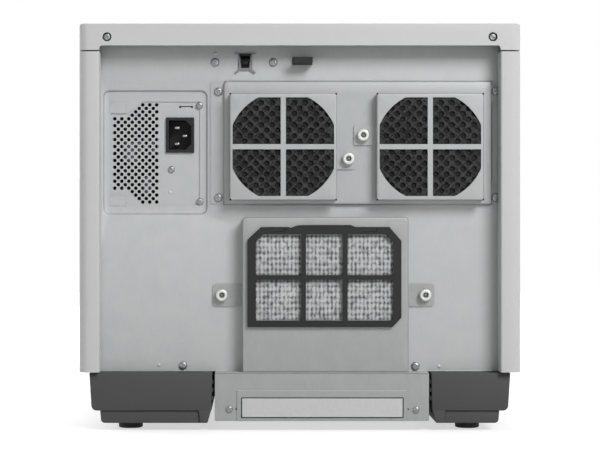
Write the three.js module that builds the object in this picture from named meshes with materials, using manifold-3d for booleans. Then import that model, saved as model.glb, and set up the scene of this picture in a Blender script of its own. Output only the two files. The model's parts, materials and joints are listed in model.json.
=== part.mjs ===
import * as THREE from 'three';
import { mergeVertices } from 'three/addons/utils/BufferGeometryUtils.js';
import Module from 'manifold-3d';

// Disc duplicator: a box with a front door, disc drives, a disc printer and a turning arm inside.
// Millimetres. +X is the right-hand side seen from the front, +Y the rear, +Z up.
// The origin is the middle of the footprint, on the surface that the feet stand on.

// Whole machine
const machineWidth = 377;
const machineDepth = 465;
const machineHeight = 348;

// Materials' thicknesses and clearances
const sheet = 1.2;
const casingWall = 2;
const mouldedWall = 3;
const fitGap = 0.3;
const runGap = 0.6;
const overrun = 1;

// Casing
const casingRadius = 8;
const topCoverHeight = 22.6;
const rearLipHeight = 18.7;
const rearReturn = 17.5;
const recessDepth = 24;
const coverJoint = 1.2;
const sideCoverLift = 0.8;
const coverBossRadius = 5;
const coverBossInset = 34;
const lipScrewRecess = 3.4;
const lipScrewInset = 24;
const lipScrewDrop = 11.4;

// Base
const footHeight = 6.6;
const footRadius = 10.5;
const footInset = 42;
const railHeight = 43.1;
const plinthHeight = 11.3;
const wideRailWidth = 105.2;
const slimRailWidth = 67.5;
const railSetBack = 8.4;
const plinthOuterInset = 10;
const plinthInnerInset = 3.5;
const railRadius = 5;
const railWall = 3;
const railEndInset = 6.5;
const panFlange = 10;
const wellDrop = 41;
const wellSideGap = 2.2;

// Rear panel and its dish for the power supply
const rearPanelDrop = 12.1;
const dishWidth = 88;
const dishHeight = 105;
const dishInset = 2.9;
const dishDrop = 56.7;
const dishDepth = 2.5;
const dishRadius = 6;
const dishOpeningWidth = 77;
const dishOpeningHeight = 89.4;
const dishOpeningInset = 5.1;
const dishOpeningLift = 7.1;
const dishCornerCut = 14;

// Power supply
const ventHole = 2.7;
const ventPitchX = 6.04;
const ventPitchZ = 6;
const ventColumns = 7;
const ventRows = 15;
const ventInset = 3.4;
const ventLift = 2.7;
const ventSides = 6;
const ventCornerColumns = 7;
const ventCornerRows = 2;
const powerBoxWidth = 82;
const powerBoxHeight = 97;
const powerBoxDepth = 150;
const powerPlateLap = 1.2;
const inletWidth = 24.4;
const inletHeight = 30.4;
const inletInset = 52.8;
const inletLift = 45.3;
const inletDepth = 22;
const inletFlange = 2.4;
const inletWall = 2.6;
const inletFloor = 4;
const inletCornerCut = 5;

// USB socket with its clip, and cable hook
const usbWidth = 10.4;
const usbHeight = 13.4;
const usbDepth = 17;
const usbWall = 1.4;
const usbProud = 0.9;
const usbBack = 4;
const usbFromWall = 27.2;
const clipWall = 0.7;
const clipSpan = 18.6;
const clipDrop = 3.3;
const clipProud = 2;
const hookWidth = 17.3;
const hookHeight = 6.1;
const hookReach = 16;
const hookBar = 1.9;
const hookFromWall = 76.5;
const hookDrop = 33.9;

// Fan cover bracket
const fanCoverHeight = 105.8;
const fanCoverDrop = 49.3;
const fanCoverInset = 7.4;
const fanCoverGap = 13.9;
const plateRise = 5;
const boxRise = 13;
const boxSide = 91.5;
const boxLift = 4.5;
const boxSideGap = 6.3;
const openingRadius = 47.2;
const openingWidth = 86.8;
const openingHeight = 84.4;
const crossBar = 4.4;
const flangeWidth = 10.5;
const earWidth = 4.6;
const earHeight = 15;
const earLift = 4;
const upperTabWidth = 19;
const upperTabHeight = 17;
const upperTabLift = 52;
const lowerTabWidth = 18;
const lowerTabHeight = 18.3;
const lowerTabLift = 31.1;

// Fans
const fanSize = 80;
const fanDepth = 25;
const fanBore = 76;
const fanHubRadius = 19;
const fanBladeCount = 7;
const fanBladeWidth = 22;
const fanBladeThick = 2;
const fanBladePitch = 35;
const fanTipGap = 2;
const fanBackPlate = 4;
const fanStrutWidth = 5;
const foamThick = 5;
const fanAirGap = 10;

// Thumbscrews
const thumbRadius = 5.4;
const thumbHeight = 6.5;
const thumbShankRadius = 1.8;
const thumbShankReach = 3;
const thumbHoleRadius = 2.3;
const thumbRecessRadius = 2.4;
const thumbRecessDepth = 2;
const thumbRecessSides = 6;
const thumbTabShare = 0.42;

// Filter housing, frame and pad
const housingWidth = 139.9;
const housingTopGap = 10;
const housingLeft = 97.1;
const housingRise = 18;
const housingCorner = 3;
const housingTabHeight = 19.8;
const housingTabReach = 25.8;
const housingTabLift = 55;
const housingLip = 6;
const frameWidth = 131.4;
const frameTopGap = 9.2;
const frameLift = 38.1;
const frameInset = 4.2;
const frameThick = 3.5;
const frameSideBar = 6.7;
const frameTopBar = 5.5;
const frameMullion = 3.8;
const frameCornerCut = 11;
const frameHump = 2.5;
const frameHumpShare = 0.42;
const frameWindowShares = [0.358, 0.284, 0.358];
const padThick = 4;
const padMargin = 3;

// Bottom cover at the rear
const coverEmbossHeight = 26;
const coverEmbossDepth = 1;
const coverEmbossInset = 18.8;

// Front: door, frame, column, controls and ink cover
const columnWidth = 114.5;
const doorThick = 16;
const doorSkin = 3;
const doorRim = 14;
const doorPaneThick = 3;
const doorPaneOverlap = 6;
const doorWindowInset = 30;
const doorGripHeight = 46;
const doorGripDepth = 7;
const doorGripWidth = 12;
const doorSideGap = 0.8;
const doorEndGap = 0.5;
const hingePinRadius = 2;
const hingePinLength = 6;
const frameBarDepth = 12;
const frameBarWidth = 10;
const frameLedge = 6;
const doorRearGap = 0.5;
const controlInset = 10;
const controlHeight = 76;
const controlFromTop = 13;
const controlFrameLap = 2;
const powerButtonRadius = 8;
const inkButtonRadius = 6;
const buttonLift = 1.6;
const buttonFlange = 1.6;
const buttonFlangeThick = 1.4;
const powerButtonShare = 0.72;
const inkButtonShare = 0.26;
const inkCoverTopGap = 21.2;
const inkCoverInset = 6;
const inkCoverLift = 10;
const inkCoverThick = 8;

// Ink cartridges in their holder
const cartridgeCount = 6;
const cartridgeGap = 2.4;
const cartridgeHeight = 78;
const cartridgeDepth = 74;
const holderHeight = 70;
const holderWall = 2.5;
const holderBackGap = 9;
const holderFront = 30;

// Discs and the stackers that hold them
const discRadius = 60;
const discClear = 1;
const stackerBase = 6;
const stackerHubRadius = 6.8;
const stackerHubHeight = 8;
const stackerPost = 5;
const stackerPostWidth = 9;
const stackerPlateRadius = 57;
const stackerWallGap = 2.5;
const stackerPairGap = 3;
const stackerFrontGap = 7;
const stackerBackGap = 34;
const postFoldShare = 7 / 9;
const trayDropRoom = 14;

// Drives and printer
const driveWidth = 146;
const driveHeight = 41;
const driveGap = 2;
const driveWall = 3;
const trayWidth = 122;
const trayBackGap = 15;
const trayThick = 5;
const trayRecess = 1.5;
const trayFrontMargin = 5;
const trayTravel = 135;
const trayHoleRadius = 19;
const trayMouthHeight = 7.5;
const trayFromTop = 12;
const printerGap = 4;
const printerHeight = 72;
const printerTrayLift = 8;
const carriageRoomHeight = 34;
const carriageRoomInsetShare = 0.3;
const carriageRoomDepthShare = 0.38;
const carriageWidth = 58;
const carriageEndGap = 9;
const carriageHeight = 26;
const carriageRodRadius = 4;
const boardThick = 1.6;
const boardHeadRoom = 15.9;
const boardFoot = 8.6;
const boardFootSize = 6;
const boardWidth = 126;
const boardDepth = 100;

// Turret that carries the arm
const postRadius = 12;
const postBore = 10;
const postHeadRoom = 0.3;
const collarRadius = 17;
const collarHeight = 24;
const collarDrop = 4;
const armThick = 10;
const armWidth = 14;
const armTipRadius = 10.5;
const gripperFlange = 3;
const gripperFlangeRadius = 9;
const gripperNose = 9;
const gripperNoseRadius = 7.1;
const gripperTipRadius = 5;
const pulleyRadius = 8;
const pulleyThick = 5;
const pulleyAxleRadius = 1.5;
const pulleyDrop = 14;

// Stacker drawer in the base
const drawerFrontWidth = 174;
const drawerFrontHeight = 35;
const drawerFrontThick = 4;
const drawerBoxWidth = 132;
const drawerBoxDepth = 134;
const drawerBoxHeight = 21;
const drawerWellDepth = 12;
const drawerFrontLip = 3.5;

// Facets of a full circle, and pairs of facets of a round corner
const fineSides = 32;
const coarseSides = 16;
const arcSteps = 2;

const halfTurn = Math.PI;
const quarterTurn = Math.PI / 2;
const degree = Math.PI / 180;

// Planes that several pieces share
const sideX = machineWidth / 2;
const innerX = sideX - casingWall;
const rearY = machineDepth / 2;
const frontY = -rearY;
const panelRear = rearY - recessDepth;
const panelFront = panelRear - sheet;
const baseTop = footHeight + railHeight;
const floorZ = baseTop + sheet;
const coverRim = machineHeight - topCoverHeight;
const deckZ = coverRim + runGap;
const deckTop = deckZ + sheet;
const bayWallX = sideX - columnWidth;
const compartmentX = bayWallX + sheet;
const frameFront = frontY + doorThick + doorRearGap;
const frameRear = frameFront + frameBarDepth;
const panSideX = innerX - fitGap;

// The open space between the rails holds the drawer's well
const wideRailInner = sideX - railSetBack - wideRailWidth;
const slimRailInner = -sideX + railSetBack + slimRailWidth;
const wellX0 = slimRailInner + wellSideGap;
const wellX1 = wideRailInner - wellSideGap;
const wellZ = baseTop - wellDrop;
const railRear = rearY - railEndInset;
const railFront = -railRear;

// Heights inside, down from the deck: main board, printer, two drives, then the stackers
const boardTop = deckZ - boardHeadRoom;
const printerTop = boardTop - boardThick - boardFoot;
const printerBottom = printerTop - printerHeight;
const upperDriveZ = printerBottom - printerGap - driveHeight;
const lowerDriveZ = upperDriveZ - driveGap - driveHeight;
const stackerHeight = lowerDriveZ - trayDropRoom - floorZ;

const paint = {
  casing: new THREE.MeshStandardMaterial({ color: 0xc9c9c7, roughness: 0.5, metalness: 0 }),
  zinc: new THREE.MeshStandardMaterial({ color: 0xb4b6b5, roughness: 0.42, metalness: 0.6 }),
  base: new THREE.MeshStandardMaterial({ color: 0x535353, roughness: 0.6, metalness: 0 }),
  black: new THREE.MeshStandardMaterial({ color: 0x2c2c2c, roughness: 0.5, metalness: 0 }),
  foam: new THREE.MeshStandardMaterial({ color: 0x434343, roughness: 0.95, metalness: 0 }),
  pad: new THREE.MeshStandardMaterial({ color: 0xa2a2a2, roughness: 0.95, metalness: 0 }),
  nickel: new THREE.MeshStandardMaterial({ color: 0xd6d6d4, roughness: 0.25, metalness: 0.9 }),
  rubber: new THREE.MeshStandardMaterial({ color: 0x3a3a3a, roughness: 0.9, metalness: 0 }),
  smoke: new THREE.MeshStandardMaterial({ color: 0x33383b, roughness: 0.1, metalness: 0 }),
  white: new THREE.MeshStandardMaterial({ color: 0xdededc, roughness: 0.5, metalness: 0 }),
  board: new THREE.MeshStandardMaterial({ color: 0x2f6b3f, roughness: 0.6, metalness: 0 }),
};

const wasm = await Module();
wasm.setup();

// Turns a closed geometry into a solid that can be joined and cut
function solidOf(geometry) {
  const bare = geometry.index ? geometry.toNonIndexed() : geometry.clone();
  bare.deleteAttribute('normal');
  bare.deleteAttribute('uv');
  const merged = mergeVertices(bare);
  const corners = merged.index.array;
  const kept = [];
  for (let i = 0; i < corners.length; i += 3) {
    const [a, b, c] = [corners[i], corners[i + 1], corners[i + 2]];
    if (a !== b && b !== c && a !== c) kept.push(a, b, c);
  }
  return new wasm.Manifold(new wasm.Mesh({
    numProp: 3,
    vertProperties: new Float32Array(merged.attributes.position.array),
    triVerts: new Uint32Array(kept),
  }));
}

function geometryOf(solid) {
  const mesh = solid.getMesh();
  const geometry = new THREE.BufferGeometry();
  geometry.setAttribute('position', new THREE.BufferAttribute(new Float32Array(mesh.vertProperties), 3));
  geometry.setIndex(new THREE.BufferAttribute(new Uint32Array(mesh.triVerts), 1));
  geometry.computeVertexNormals();
  return geometry;
}

function join(first, ...others) {
  return others.reduce((whole, other) => whole.add(other), first);
}

function cut(first, ...others) {
  return others.reduce((whole, other) => whole.subtract(other), first);
}

// A box between two corners
function block(x0, x1, y0, y1, z0, z1) {
  const geometry = new THREE.BoxGeometry(x1 - x0, y1 - y0, z1 - z0);
  geometry.translate((x0 + x1) / 2, (y0 + y1) / 2, (z0 + z1) / 2);
  return solidOf(geometry);
}

const alongX = new THREE.Matrix4().set(0, 0, 1, 0, 1, 0, 0, 0, 0, 1, 0, 0, 0, 0, 0, 1);
const alongY = new THREE.Matrix4().set(1, 0, 0, 0, 0, 0, -1, 0, 0, 1, 0, 0, 0, 0, 0, 1);

function extrude(outline, depth, steps) {
  return new THREE.ExtrudeGeometry(outline, { depth, bevelEnabled: false, curveSegments: steps });
}

// Prisms of an outline, stretched between two planes across X, Y or Z
function prismZ(outline, z0, z1, steps = arcSteps) {
  const geometry = extrude(outline, z1 - z0, steps);
  geometry.translate(0, 0, z0);
  return solidOf(geometry);
}

function prismY(outline, y0, y1, steps = arcSteps) {
  const geometry = extrude(outline, y1 - y0, steps);
  geometry.applyMatrix4(alongY);
  geometry.translate(0, y1, 0);
  return solidOf(geometry);
}

function prismX(outline, x0, x1, steps = arcSteps) {
  const geometry = extrude(outline, x1 - x0, steps);
  geometry.applyMatrix4(alongX);
  geometry.translate(x0, 0, 0);
  return solidOf(geometry);
}

function circle(u, v, radius) {
  const outline = new THREE.Shape();
  outline.absarc(u, v, radius, 0, 2 * halfTurn, false);
  return outline;
}

// A rectangle whose corners are rounded, each by its own radius: low-low, high-low, high-high, low-high
function roundedRect(u0, v0, u1, v1, radii) {
  const [a, b, c, d] = radii;
  const outline = new THREE.Shape();
  outline.moveTo(u0 + a, v0);
  outline.lineTo(u1 - b, v0);
  if (b) outline.absarc(u1 - b, v0 + b, b, -quarterTurn, 0, false);
  outline.lineTo(u1, v1 - c);
  if (c) outline.absarc(u1 - c, v1 - c, c, 0, quarterTurn, false);
  outline.lineTo(u0 + d, v1);
  if (d) outline.absarc(u0 + d, v1 - d, d, quarterTurn, halfTurn, false);
  outline.lineTo(u0, v0 + a);
  if (a) outline.absarc(u0 + a, v0 + a, a, halfTurn, halfTurn + quarterTurn, false);
  return outline;
}

// A rectangle whose corners are cut off at 45 degrees, each by its own length, in the same order
function cutRect(u0, v0, u1, v1, cuts) {
  const [a, b, c, d] = cuts;
  const points = [[u0 + a, v0], [u1 - b, v0]];
  if (b) points.push([u1, v0 + b]);
  points.push([u1, v1 - c]);
  if (c) points.push([u1 - c, v1]);
  points.push([u0 + d, v1]);
  if (d) points.push([u0, v1 - d]);
  if (a) points.push([u0, v0 + a]);
  return new THREE.Shape(points.map(([u, v]) => new THREE.Vector2(u, v)));
}

// Solid cylinders across each axis
function rodX(y, z, radius, x0, x1, sides = coarseSides) {
  return prismX(circle(y, z, radius), x0, x1, sides / 2);
}

function rodY(x, z, radius, y0, y1, sides = coarseSides) {
  return prismY(circle(x, z, radius), y0, y1, sides / 2);
}

function rodZ(x, y, radius, z0, z1, sides = coarseSides) {
  return prismZ(circle(x, y, radius), z0, z1, sides / 2);
}

const machine = new THREE.Group();

function piece(name, solid, material, parent = machine) {
  const mesh = new THREE.Mesh(geometryOf(solid), material);
  mesh.name = name;
  parent.add(mesh);
  return mesh;
}

function groupAt(x, y, z, turnZ = 0) {
  const group = new THREE.Group();
  group.position.set(x, y, z);
  group.rotation.z = turnZ;
  machine.add(group);
  return group;
}

// Top cover: a pan with a rim all round, higher at the rear lip, and bosses that stand on the deck
function topCover() {
  const radii = Array(4).fill(casingRadius);
  const innerRadii = Array(4).fill(casingRadius - casingWall);
  const outer = roundedRect(-sideX, frontY, sideX, rearY, radii);
  const inner = roundedRect(-innerX, frontY + casingWall, innerX, rearY - casingWall, innerRadii);
  const lipX = sideX - rearReturn;
  const lipZ = machineHeight - rearLipHeight;
  const screwX = sideX - lipScrewInset;
  const screwZ = machineHeight - lipScrewDrop;
  const bosses = [];
  for (const sx of [-1, 1]) {
    for (const sy of [-1, 1]) {
      const x = sx * (sideX - coverBossInset);
      const y = sy * (rearY - coverBossInset);
      bosses.push(rodZ(x, y, coverBossRadius, deckTop, machineHeight - casingWall + fitGap));
    }
  }
  const pan = cut(
    prismZ(outer, coverRim, machineHeight),
    prismZ(inner, coverRim - overrun, machineHeight - casingWall),
    block(-lipX, lipX, rearY - casingWall - overrun, rearY + overrun, coverRim - overrun, lipZ),
    rodY(screwX, screwZ, lipScrewRecess, rearY - casingWall - overrun, rearY + overrun, coarseSides),
    rodY(-screwX, screwZ, lipScrewRecess, rearY - casingWall - overrun, rearY + overrun, coarseSides),
  );
  return join(pan, ...bosses);
}

// Side cover: outer wall, round rear corner, rear return and an inner lip that meets the rear panel
function sideCover(side, front) {
  const lipX = sideX - rearReturn;
  const outline = new THREE.Shape();
  outline.moveTo(sideX, front);
  outline.lineTo(sideX, rearY - casingRadius);
  outline.absarc(sideX - casingRadius, rearY - casingRadius, casingRadius, 0, quarterTurn, false);
  outline.lineTo(lipX, rearY);
  outline.lineTo(lipX, panelRear + fitGap);
  outline.lineTo(lipX + casingWall, panelRear + fitGap);
  outline.lineTo(lipX + casingWall, rearY - casingWall);
  outline.lineTo(sideX - casingRadius, rearY - casingWall);
  const inside = casingRadius - casingWall;
  outline.absarc(sideX - casingRadius, rearY - casingRadius, inside, quarterTurn, 0, true);
  outline.lineTo(innerX, front);
  const wall = prismZ(outline, baseTop + sideCoverLift, coverRim - coverJoint);
  return side > 0 ? wall : wall.mirror([1, 0, 0]);
}

// Base pan with a flange up each side, behind the front pieces
function basePan() {
  const flangeZ = floorZ + panFlange;
  return join(
    block(-panSideX, panSideX, frameFront, panelRear, baseTop, floorZ),
    block(-panSideX, -panSideX + sheet, frameRear + runGap, panelFront - fitGap, baseTop, flangeZ),
    block(panSideX - sheet, panSideX, frameRear + runGap, panelFront - fitGap, baseTop, flangeZ),
  );
}

// Base rail: an open-topped trough with a narrower plinth under it; side is +1 for the outer edge at +X
function baseRail(side, width) {
  const outer = sideX - railSetBack;
  const inner = outer - width;
  const plinthTop = footHeight + plinthHeight;
  const plinthInner = inner + plinthInnerInset;
  const plinthOuter = outer - plinthOuterInset;
  const plinthRadii = [railRadius, railRadius, 0, 0];
  const body = roundedRect(inner, plinthTop, outer, baseTop, [0, railRadius, 0, 0]);
  const plinth = roundedRect(plinthInner, footHeight, plinthOuter, plinthTop, plinthRadii);
  const room = block(
    plinthInner + railWall,
    plinthOuter - railWall,
    railFront + railWall,
    panelFront - railWall,
    footHeight + railWall,
    baseTop + overrun,
  );
  const rail = cut(join(
    prismY(body, railFront, railRear),
    prismY(plinth, railFront + railWall, railRear - railWall),
  ), room);
  return side > 0 ? rail : rail.mirror([1, 0, 0]);
}

function foot(name, x, y) {
  const solid = rodZ(0, 0, footRadius, 0, footHeight, fineSides);
  return piece(name, solid, paint.rubber, groupAt(x, y, 0));
}

// Bottom cover: a channel hung under the base pan that holds the drawer, closed by the plate at the rear
function bottomCover() {
  const rear = railRear + sheet;
  const embossTop = wellZ + coverEmbossHeight;
  const channel = cut(
    block(wellX0, wellX1, railFront, rear, wellZ, baseTop),
    block(wellX0 + sheet, wellX1 - sheet, railFront - overrun, railRear, wellZ + sheet, baseTop + overrun),
  );
  const embossX0 = wellX0 + coverEmbossInset;
  const embossX1 = wellX1 - coverEmbossInset;
  const emboss = block(embossX0, embossX1, rear - sheet, rear + coverEmbossDepth, wellZ, embossTop);
  return join(channel, emboss);
}

// Rear panel, with a dish pressed in round the power supply's opening
const dishX1 = sideX - rearReturn - dishInset;
const dishX0 = dishX1 - dishWidth;
const dishTop = machineHeight - dishDrop;
const dishBottom = dishTop - dishHeight;
const dishFloor = panelRear - dishDepth;
const dishOpenX1 = dishX1 - dishOpeningInset;
const dishOpenX0 = dishOpenX1 - dishOpeningWidth;
const dishOpenZ0 = dishBottom + dishOpeningLift;
const dishOpenZ1 = dishOpenZ0 + dishOpeningHeight;

// Fan cover's plate, from its ears at -X to its flange at +X
const fanPlateX0 = -(sideX - rearReturn) + fanCoverInset;
const fanPlateX1 = dishX0 - fanCoverGap;
const fanCoverTop = machineHeight - fanCoverDrop;
const fanCoverBottom = fanCoverTop - fanCoverHeight;
const fanPlateFace = panelRear + plateRise;
const fanBoxFace = fanPlateFace + boxRise;
const fanBoxX0 = fanPlateX0 + boxSideGap;
const fanBoxX1 = fanPlateX1 - boxSideGap;
const fanZ = fanCoverBottom + boxLift + boxSide / 2;
const fanXs = [fanBoxX1 - boxSide / 2, fanBoxX0 + boxSide / 2];
const fanRear = fanBoxFace - sheet - foamThick - fitGap;
const fanFront = fanRear - fanDepth;

// Filter housing under it
const housingX0 = -housingLeft + boxSideGap;
const housingX1 = housingX0 + housingWidth;
const housingTop = fanCoverBottom - housingTopGap;
const housingFace = panelRear + housingRise;
const frameX0 = housingX0 + frameInset;
const frameX1 = frameX0 + frameWidth;
const frameZ0 = floorZ + frameLift;
const frameZ1 = housingTop - frameTopGap;

const usbX = bayWallX - usbFromWall;

// Places of the four thumbscrews: x, z and the face that each head sits on
const thumbSeats = [
  { x: fanXs[1] + boxSide / 2 + upperTabWidth * (1 - thumbTabShare),
    z: fanCoverBottom + upperTabLift + upperTabHeight / 2, seat: fanPlateFace + sheet },
  { x: fanXs[0] - boxSide / 2 - lowerTabWidth * (1 - thumbTabShare),
    z: fanCoverBottom + lowerTabLift + lowerTabHeight / 2, seat: fanPlateFace + sheet },
  { x: housingX1 + housingTabReach * (1 - thumbTabShare / 2) - thumbRadius / 2,
    z: floorZ + housingTabLift + housingTabHeight / 2, seat: panelRear + sheet },
  { x: housingX0 - housingTabReach * (1 - thumbTabShare / 2) + thumbRadius / 2,
    z: floorZ + housingTabLift + housingTabHeight / 2, seat: panelRear + sheet },
];

function thumbHoles() {
  const front = panelFront - dishDepth;
  return thumbSeats.map(({ x, z }) => rodY(x, z, thumbHoleRadius, front, rearY));
}

function rearPanel() {
  const edgeX = panSideX - sheet - fitGap;
  const top = machineHeight - rearPanelDrop;
  const dish = roundedRect(dishX0, dishBottom, dishX1, dishTop, Array(4).fill(dishRadius));
  const hollow = roundedRect(
    dishX0 + sheet,
    dishBottom + sheet,
    dishX1 - sheet,
    dishTop - sheet,
    Array(4).fill(dishRadius - sheet),
  );
  const cuts = [0, dishCornerCut, dishCornerCut, 0];
  const opening = cutRect(dishOpenX0, dishOpenZ0, dishOpenX1, dishOpenZ1, cuts);
  const fanHole = (fanSize + openingHeight) / 4;
  const usbHalf = usbWidth / 2 + runGap;
  const front = panelFront - overrun;
  const rear = panelRear + overrun;
  const plate = join(
    block(-edgeX, edgeX, panelFront, panelRear, floorZ, top),
    prismY(dish, dishFloor - sheet, panelRear),
  );
  return cut(
    plate,
    prismY(hollow, dishFloor, panelRear + overrun),
    prismY(opening, dishFloor - sheet - overrun, panelRear + overrun),
    ...fanXs.map((x) => block(x - fanHole, x + fanHole, front, rear, fanZ - fanHole, fanZ + fanHole)),
    block(
      frameX0 + frameSideBar,
      frameX1 - frameSideBar,
      front,
      rear,
      frameZ0 + frameSideBar,
      frameZ1 - frameSideBar,
    ),
    block(usbX - usbHalf, usbX + usbHalf, front, rear, boardTop - runGap, boardTop + usbHeight + runGap),
    ...thumbHoles(),
  );
}

// The power supply's rear plate, with staggered round vent holes and the cut-out for the inlet
const inletX1 = dishX1 - inletInset;
const inletX0 = inletX1 - inletWidth;
const inletZ0 = dishOpenZ0 + inletLift;
const inletZ1 = inletZ0 + inletHeight;
const powerPlateRear = dishFloor - sheet;
const powerPlateFront = powerPlateRear - sheet;

function powerPlate() {
  const outline = cutRect(
    dishOpenX0 - powerPlateLap,
    dishOpenZ0 - powerPlateLap,
    dishOpenX1 + powerPlateLap,
    dishOpenZ1 + powerPlateLap,
    [0, 0, 0, 0],
  );
  const startX = dishOpenX1 - ventInset;
  const startZ = dishOpenZ0 + ventLift;
  const cutRows = (column) => Math.min(ventCornerRows, Math.ceil((ventCornerColumns - column) / 2));
  for (let column = 0; column < 2 * ventColumns - 1; column += 1) {
    const shifted = column % 2;
    const rows = ventRows - shifted;
    const missing = Math.max(0, cutRows(column));
    for (let row = missing; row < rows - missing; row += 1) {
      const x = startX - column * ventPitchX / 2;
      const z = startZ + (row + shifted / 2) * ventPitchZ;
      const hole = new THREE.Path();
      for (let side = 0; side < ventSides; side += 1) {
        const angle = side * 2 * halfTurn / ventSides;
        const u = x + ventHole / 2 * Math.cos(angle);
        const v = z + ventHole / 2 * Math.sin(angle);
        if (side) hole.lineTo(u, v);
        else hole.moveTo(u, v);
      }
      hole.closePath();
      outline.holes.push(hole);
    }
  }
  const inletHole = block(
    inletX0 + inletFlange / 2 - fitGap,
    inletX1 - inletFlange / 2 + fitGap,
    powerPlateFront - overrun,
    powerPlateRear + overrun,
    inletZ0 + inletFlange / 2 - fitGap,
    inletZ1 - inletFlange / 2 + fitGap,
  );
  return cut(prismY(outline, powerPlateFront, powerPlateRear), inletHole);
}

// The power supply's box, open behind the plate
function powerBox() {
  const x0 = (dishOpenX0 + dishOpenX1 - powerBoxWidth) / 2;
  const z0 = (dishOpenZ0 + dishOpenZ1 - powerBoxHeight) / 2;
  const y0 = powerPlateFront - powerBoxDepth;
  return cut(
    block(x0, x0 + powerBoxWidth, y0, powerPlateFront, z0, z0 + powerBoxHeight),
    block(x0 + sheet, x0 + powerBoxWidth - sheet, y0 + sheet, powerPlateFront + overrun,
      z0 + sheet, z0 + powerBoxHeight - sheet),
  );
}

// Mains inlet: a flange on the plate, a body through it, and a recess with two cut corners
function acInlet() {
  const half = inletFlange / 2;
  const body = block(
    inletX0 + half,
    inletX1 - half,
    powerPlateRear - inletDepth,
    powerPlateRear + fitGap,
    inletZ0 + half,
    inletZ1 - half,
  );
  const flange = block(inletX0, inletX1, powerPlateRear, powerPlateRear + inletFlange, inletZ0, inletZ1);
  const recess = cutRect(
    inletX0 + inletWall,
    inletZ0 + inletWall,
    inletX1 - inletWall,
    inletZ1 - inletWall,
    [inletCornerCut, 0, 0, inletCornerCut],
  );
  const recessFloor = powerPlateRear - inletDepth + inletFloor;
  return cut(join(body, flange), prismY(recess, recessFloor, rearY));
}

// USB socket standing on the main board and reaching through the panel
function usbSocket() {
  const y1 = panelRear + usbProud;
  const y0 = y1 - usbDepth;
  const x0 = usbX - usbWidth / 2;
  const x1 = usbX + usbWidth / 2;
  const z0 = boardTop + usbWall;
  const z1 = boardTop + usbHeight;
  return cut(
    block(x0, x1, y0, y1, boardTop, z1),
    block(x0 + usbWall, x1 - usbWall, y0 + usbBack, y1 + overrun, z0, z1 - usbWall),
  );
}

// Clip round the socket on the panel's outside: a flange on top, two cheeks and two splayed legs
function usbClip() {
  const inner = usbWidth / 2 + fitGap;
  const outer = inner + clipWall;
  const span = clipSpan / 2;
  const roof = boardTop + usbHeight + fitGap;
  const foot = boardTop - clipDrop;
  const rightHalf = [
    [span, roof + clipWall],
    [span, roof],
    [outer, roof],
    [outer, boardTop],
    [span, foot],
    [span - clipWall - fitGap, foot],
    [inner, boardTop - fitGap],
    [inner, roof],
  ];
  const leftHalf = rightHalf.map(([x, z]) => [-x, z]).reverse();
  const points = [...rightHalf, ...leftHalf].map(([x, z]) => new THREE.Vector2(usbX + x, z));
  return prismY(new THREE.Shape(points), panelRear, panelRear + clipProud);
}

// Cable hook: a plate on the panel, a bar to the rear and an upturned tip
function cableHook() {
  const middle = bayWallX - hookFromWall;
  const x0 = middle - hookWidth / 2;
  const x1 = middle + hookWidth / 2;
  const z0 = machineHeight - hookDrop;
  const z1 = z0 + hookHeight;
  const y1 = panelRear + hookReach;
  return join(
    block(x0, x1, panelRear, panelRear + hookBar, z0, z1),
    block(x0, x1, panelRear, y1, z0, z0 + hookBar),
    block(x0, x1, y1 - hookBar, y1, z0, z1),
  );
}

// Fan cover: one pressed sheet, raised as a plate, and raised again as a square box at each fan
function fanCover() {
  const z0 = fanCoverBottom;
  const z1 = fanCoverTop;
  const boxZ0 = z0 + boxLift;
  const boxHalf = boxSide / 2;
  const skin = sheet;
  const earX0 = fanPlateX0 - earWidth;
  const earX1 = fanPlateX0 + overrun;
  const earTop = earLift + earHeight;
  const flangeX1 = fanPlateX1 + flangeWidth;
  const flatRear = panelRear + skin;
  const outside = [block(fanPlateX0, fanPlateX1, panelRear, fanPlateFace, z0, z1)];
  const inside = [block(fanPlateX0 + skin, fanPlateX1 - skin, panelRear - overrun, fanPlateFace - skin,
    z0 + skin, z1 - skin)];
  for (const x of fanXs) {
    outside.push(block(x - boxHalf, x + boxHalf, panelRear, fanBoxFace, boxZ0, boxZ0 + boxSide));
    inside.push(block(x - boxHalf + skin, x + boxHalf - skin, panelRear - overrun, fanBoxFace - skin,
      boxZ0 + skin, boxZ0 + boxSide - skin));
  }
  const openings = fanXs.map((x) => {
    const round = rodY(x, fanZ, openingRadius, fanPlateFace, rearY, fineSides);
    const square = block(x - openingWidth / 2, x + openingWidth / 2, fanPlateFace, rearY,
      fanZ - openingHeight / 2, fanZ + openingHeight / 2);
    return cut(
      round.intersect(square),
      block(x - openingWidth, x + openingWidth, panelRear, rearY, fanZ - crossBar / 2, fanZ + crossBar / 2),
      block(x - crossBar / 2, x + crossBar / 2, panelRear, rearY, z0, z1),
    );
  });
  const tabRear = fanPlateFace + sheet;
  const upperX0 = fanXs[1] + boxHalf;
  const upperZ0 = z0 + upperTabLift;
  const lowerX1 = fanXs[0] - boxHalf;
  const lowerZ0 = z0 + lowerTabLift;
  const flats = [
    block(fanPlateX1 - overrun, flangeX1, panelRear, flatRear, z0, z1),
    block(earX0, earX1, panelRear, flatRear, z0 + earLift - skin, z0 + earTop),
    block(earX0, earX1, panelRear, flatRear, z1 - earTop, z1 - earLift + skin),
    block(upperX0 - overrun, upperX0 + upperTabWidth, fanPlateFace - skin, tabRear, upperZ0,
      upperZ0 + upperTabHeight),
    block(lowerX1 - lowerTabWidth, lowerX1 + overrun, fanPlateFace - skin, tabRear, lowerZ0,
      lowerZ0 + lowerTabHeight),
  ];
  return cut(cut(join(...outside, ...flats), ...inside), ...openings, ...thumbHoles());
}

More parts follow.
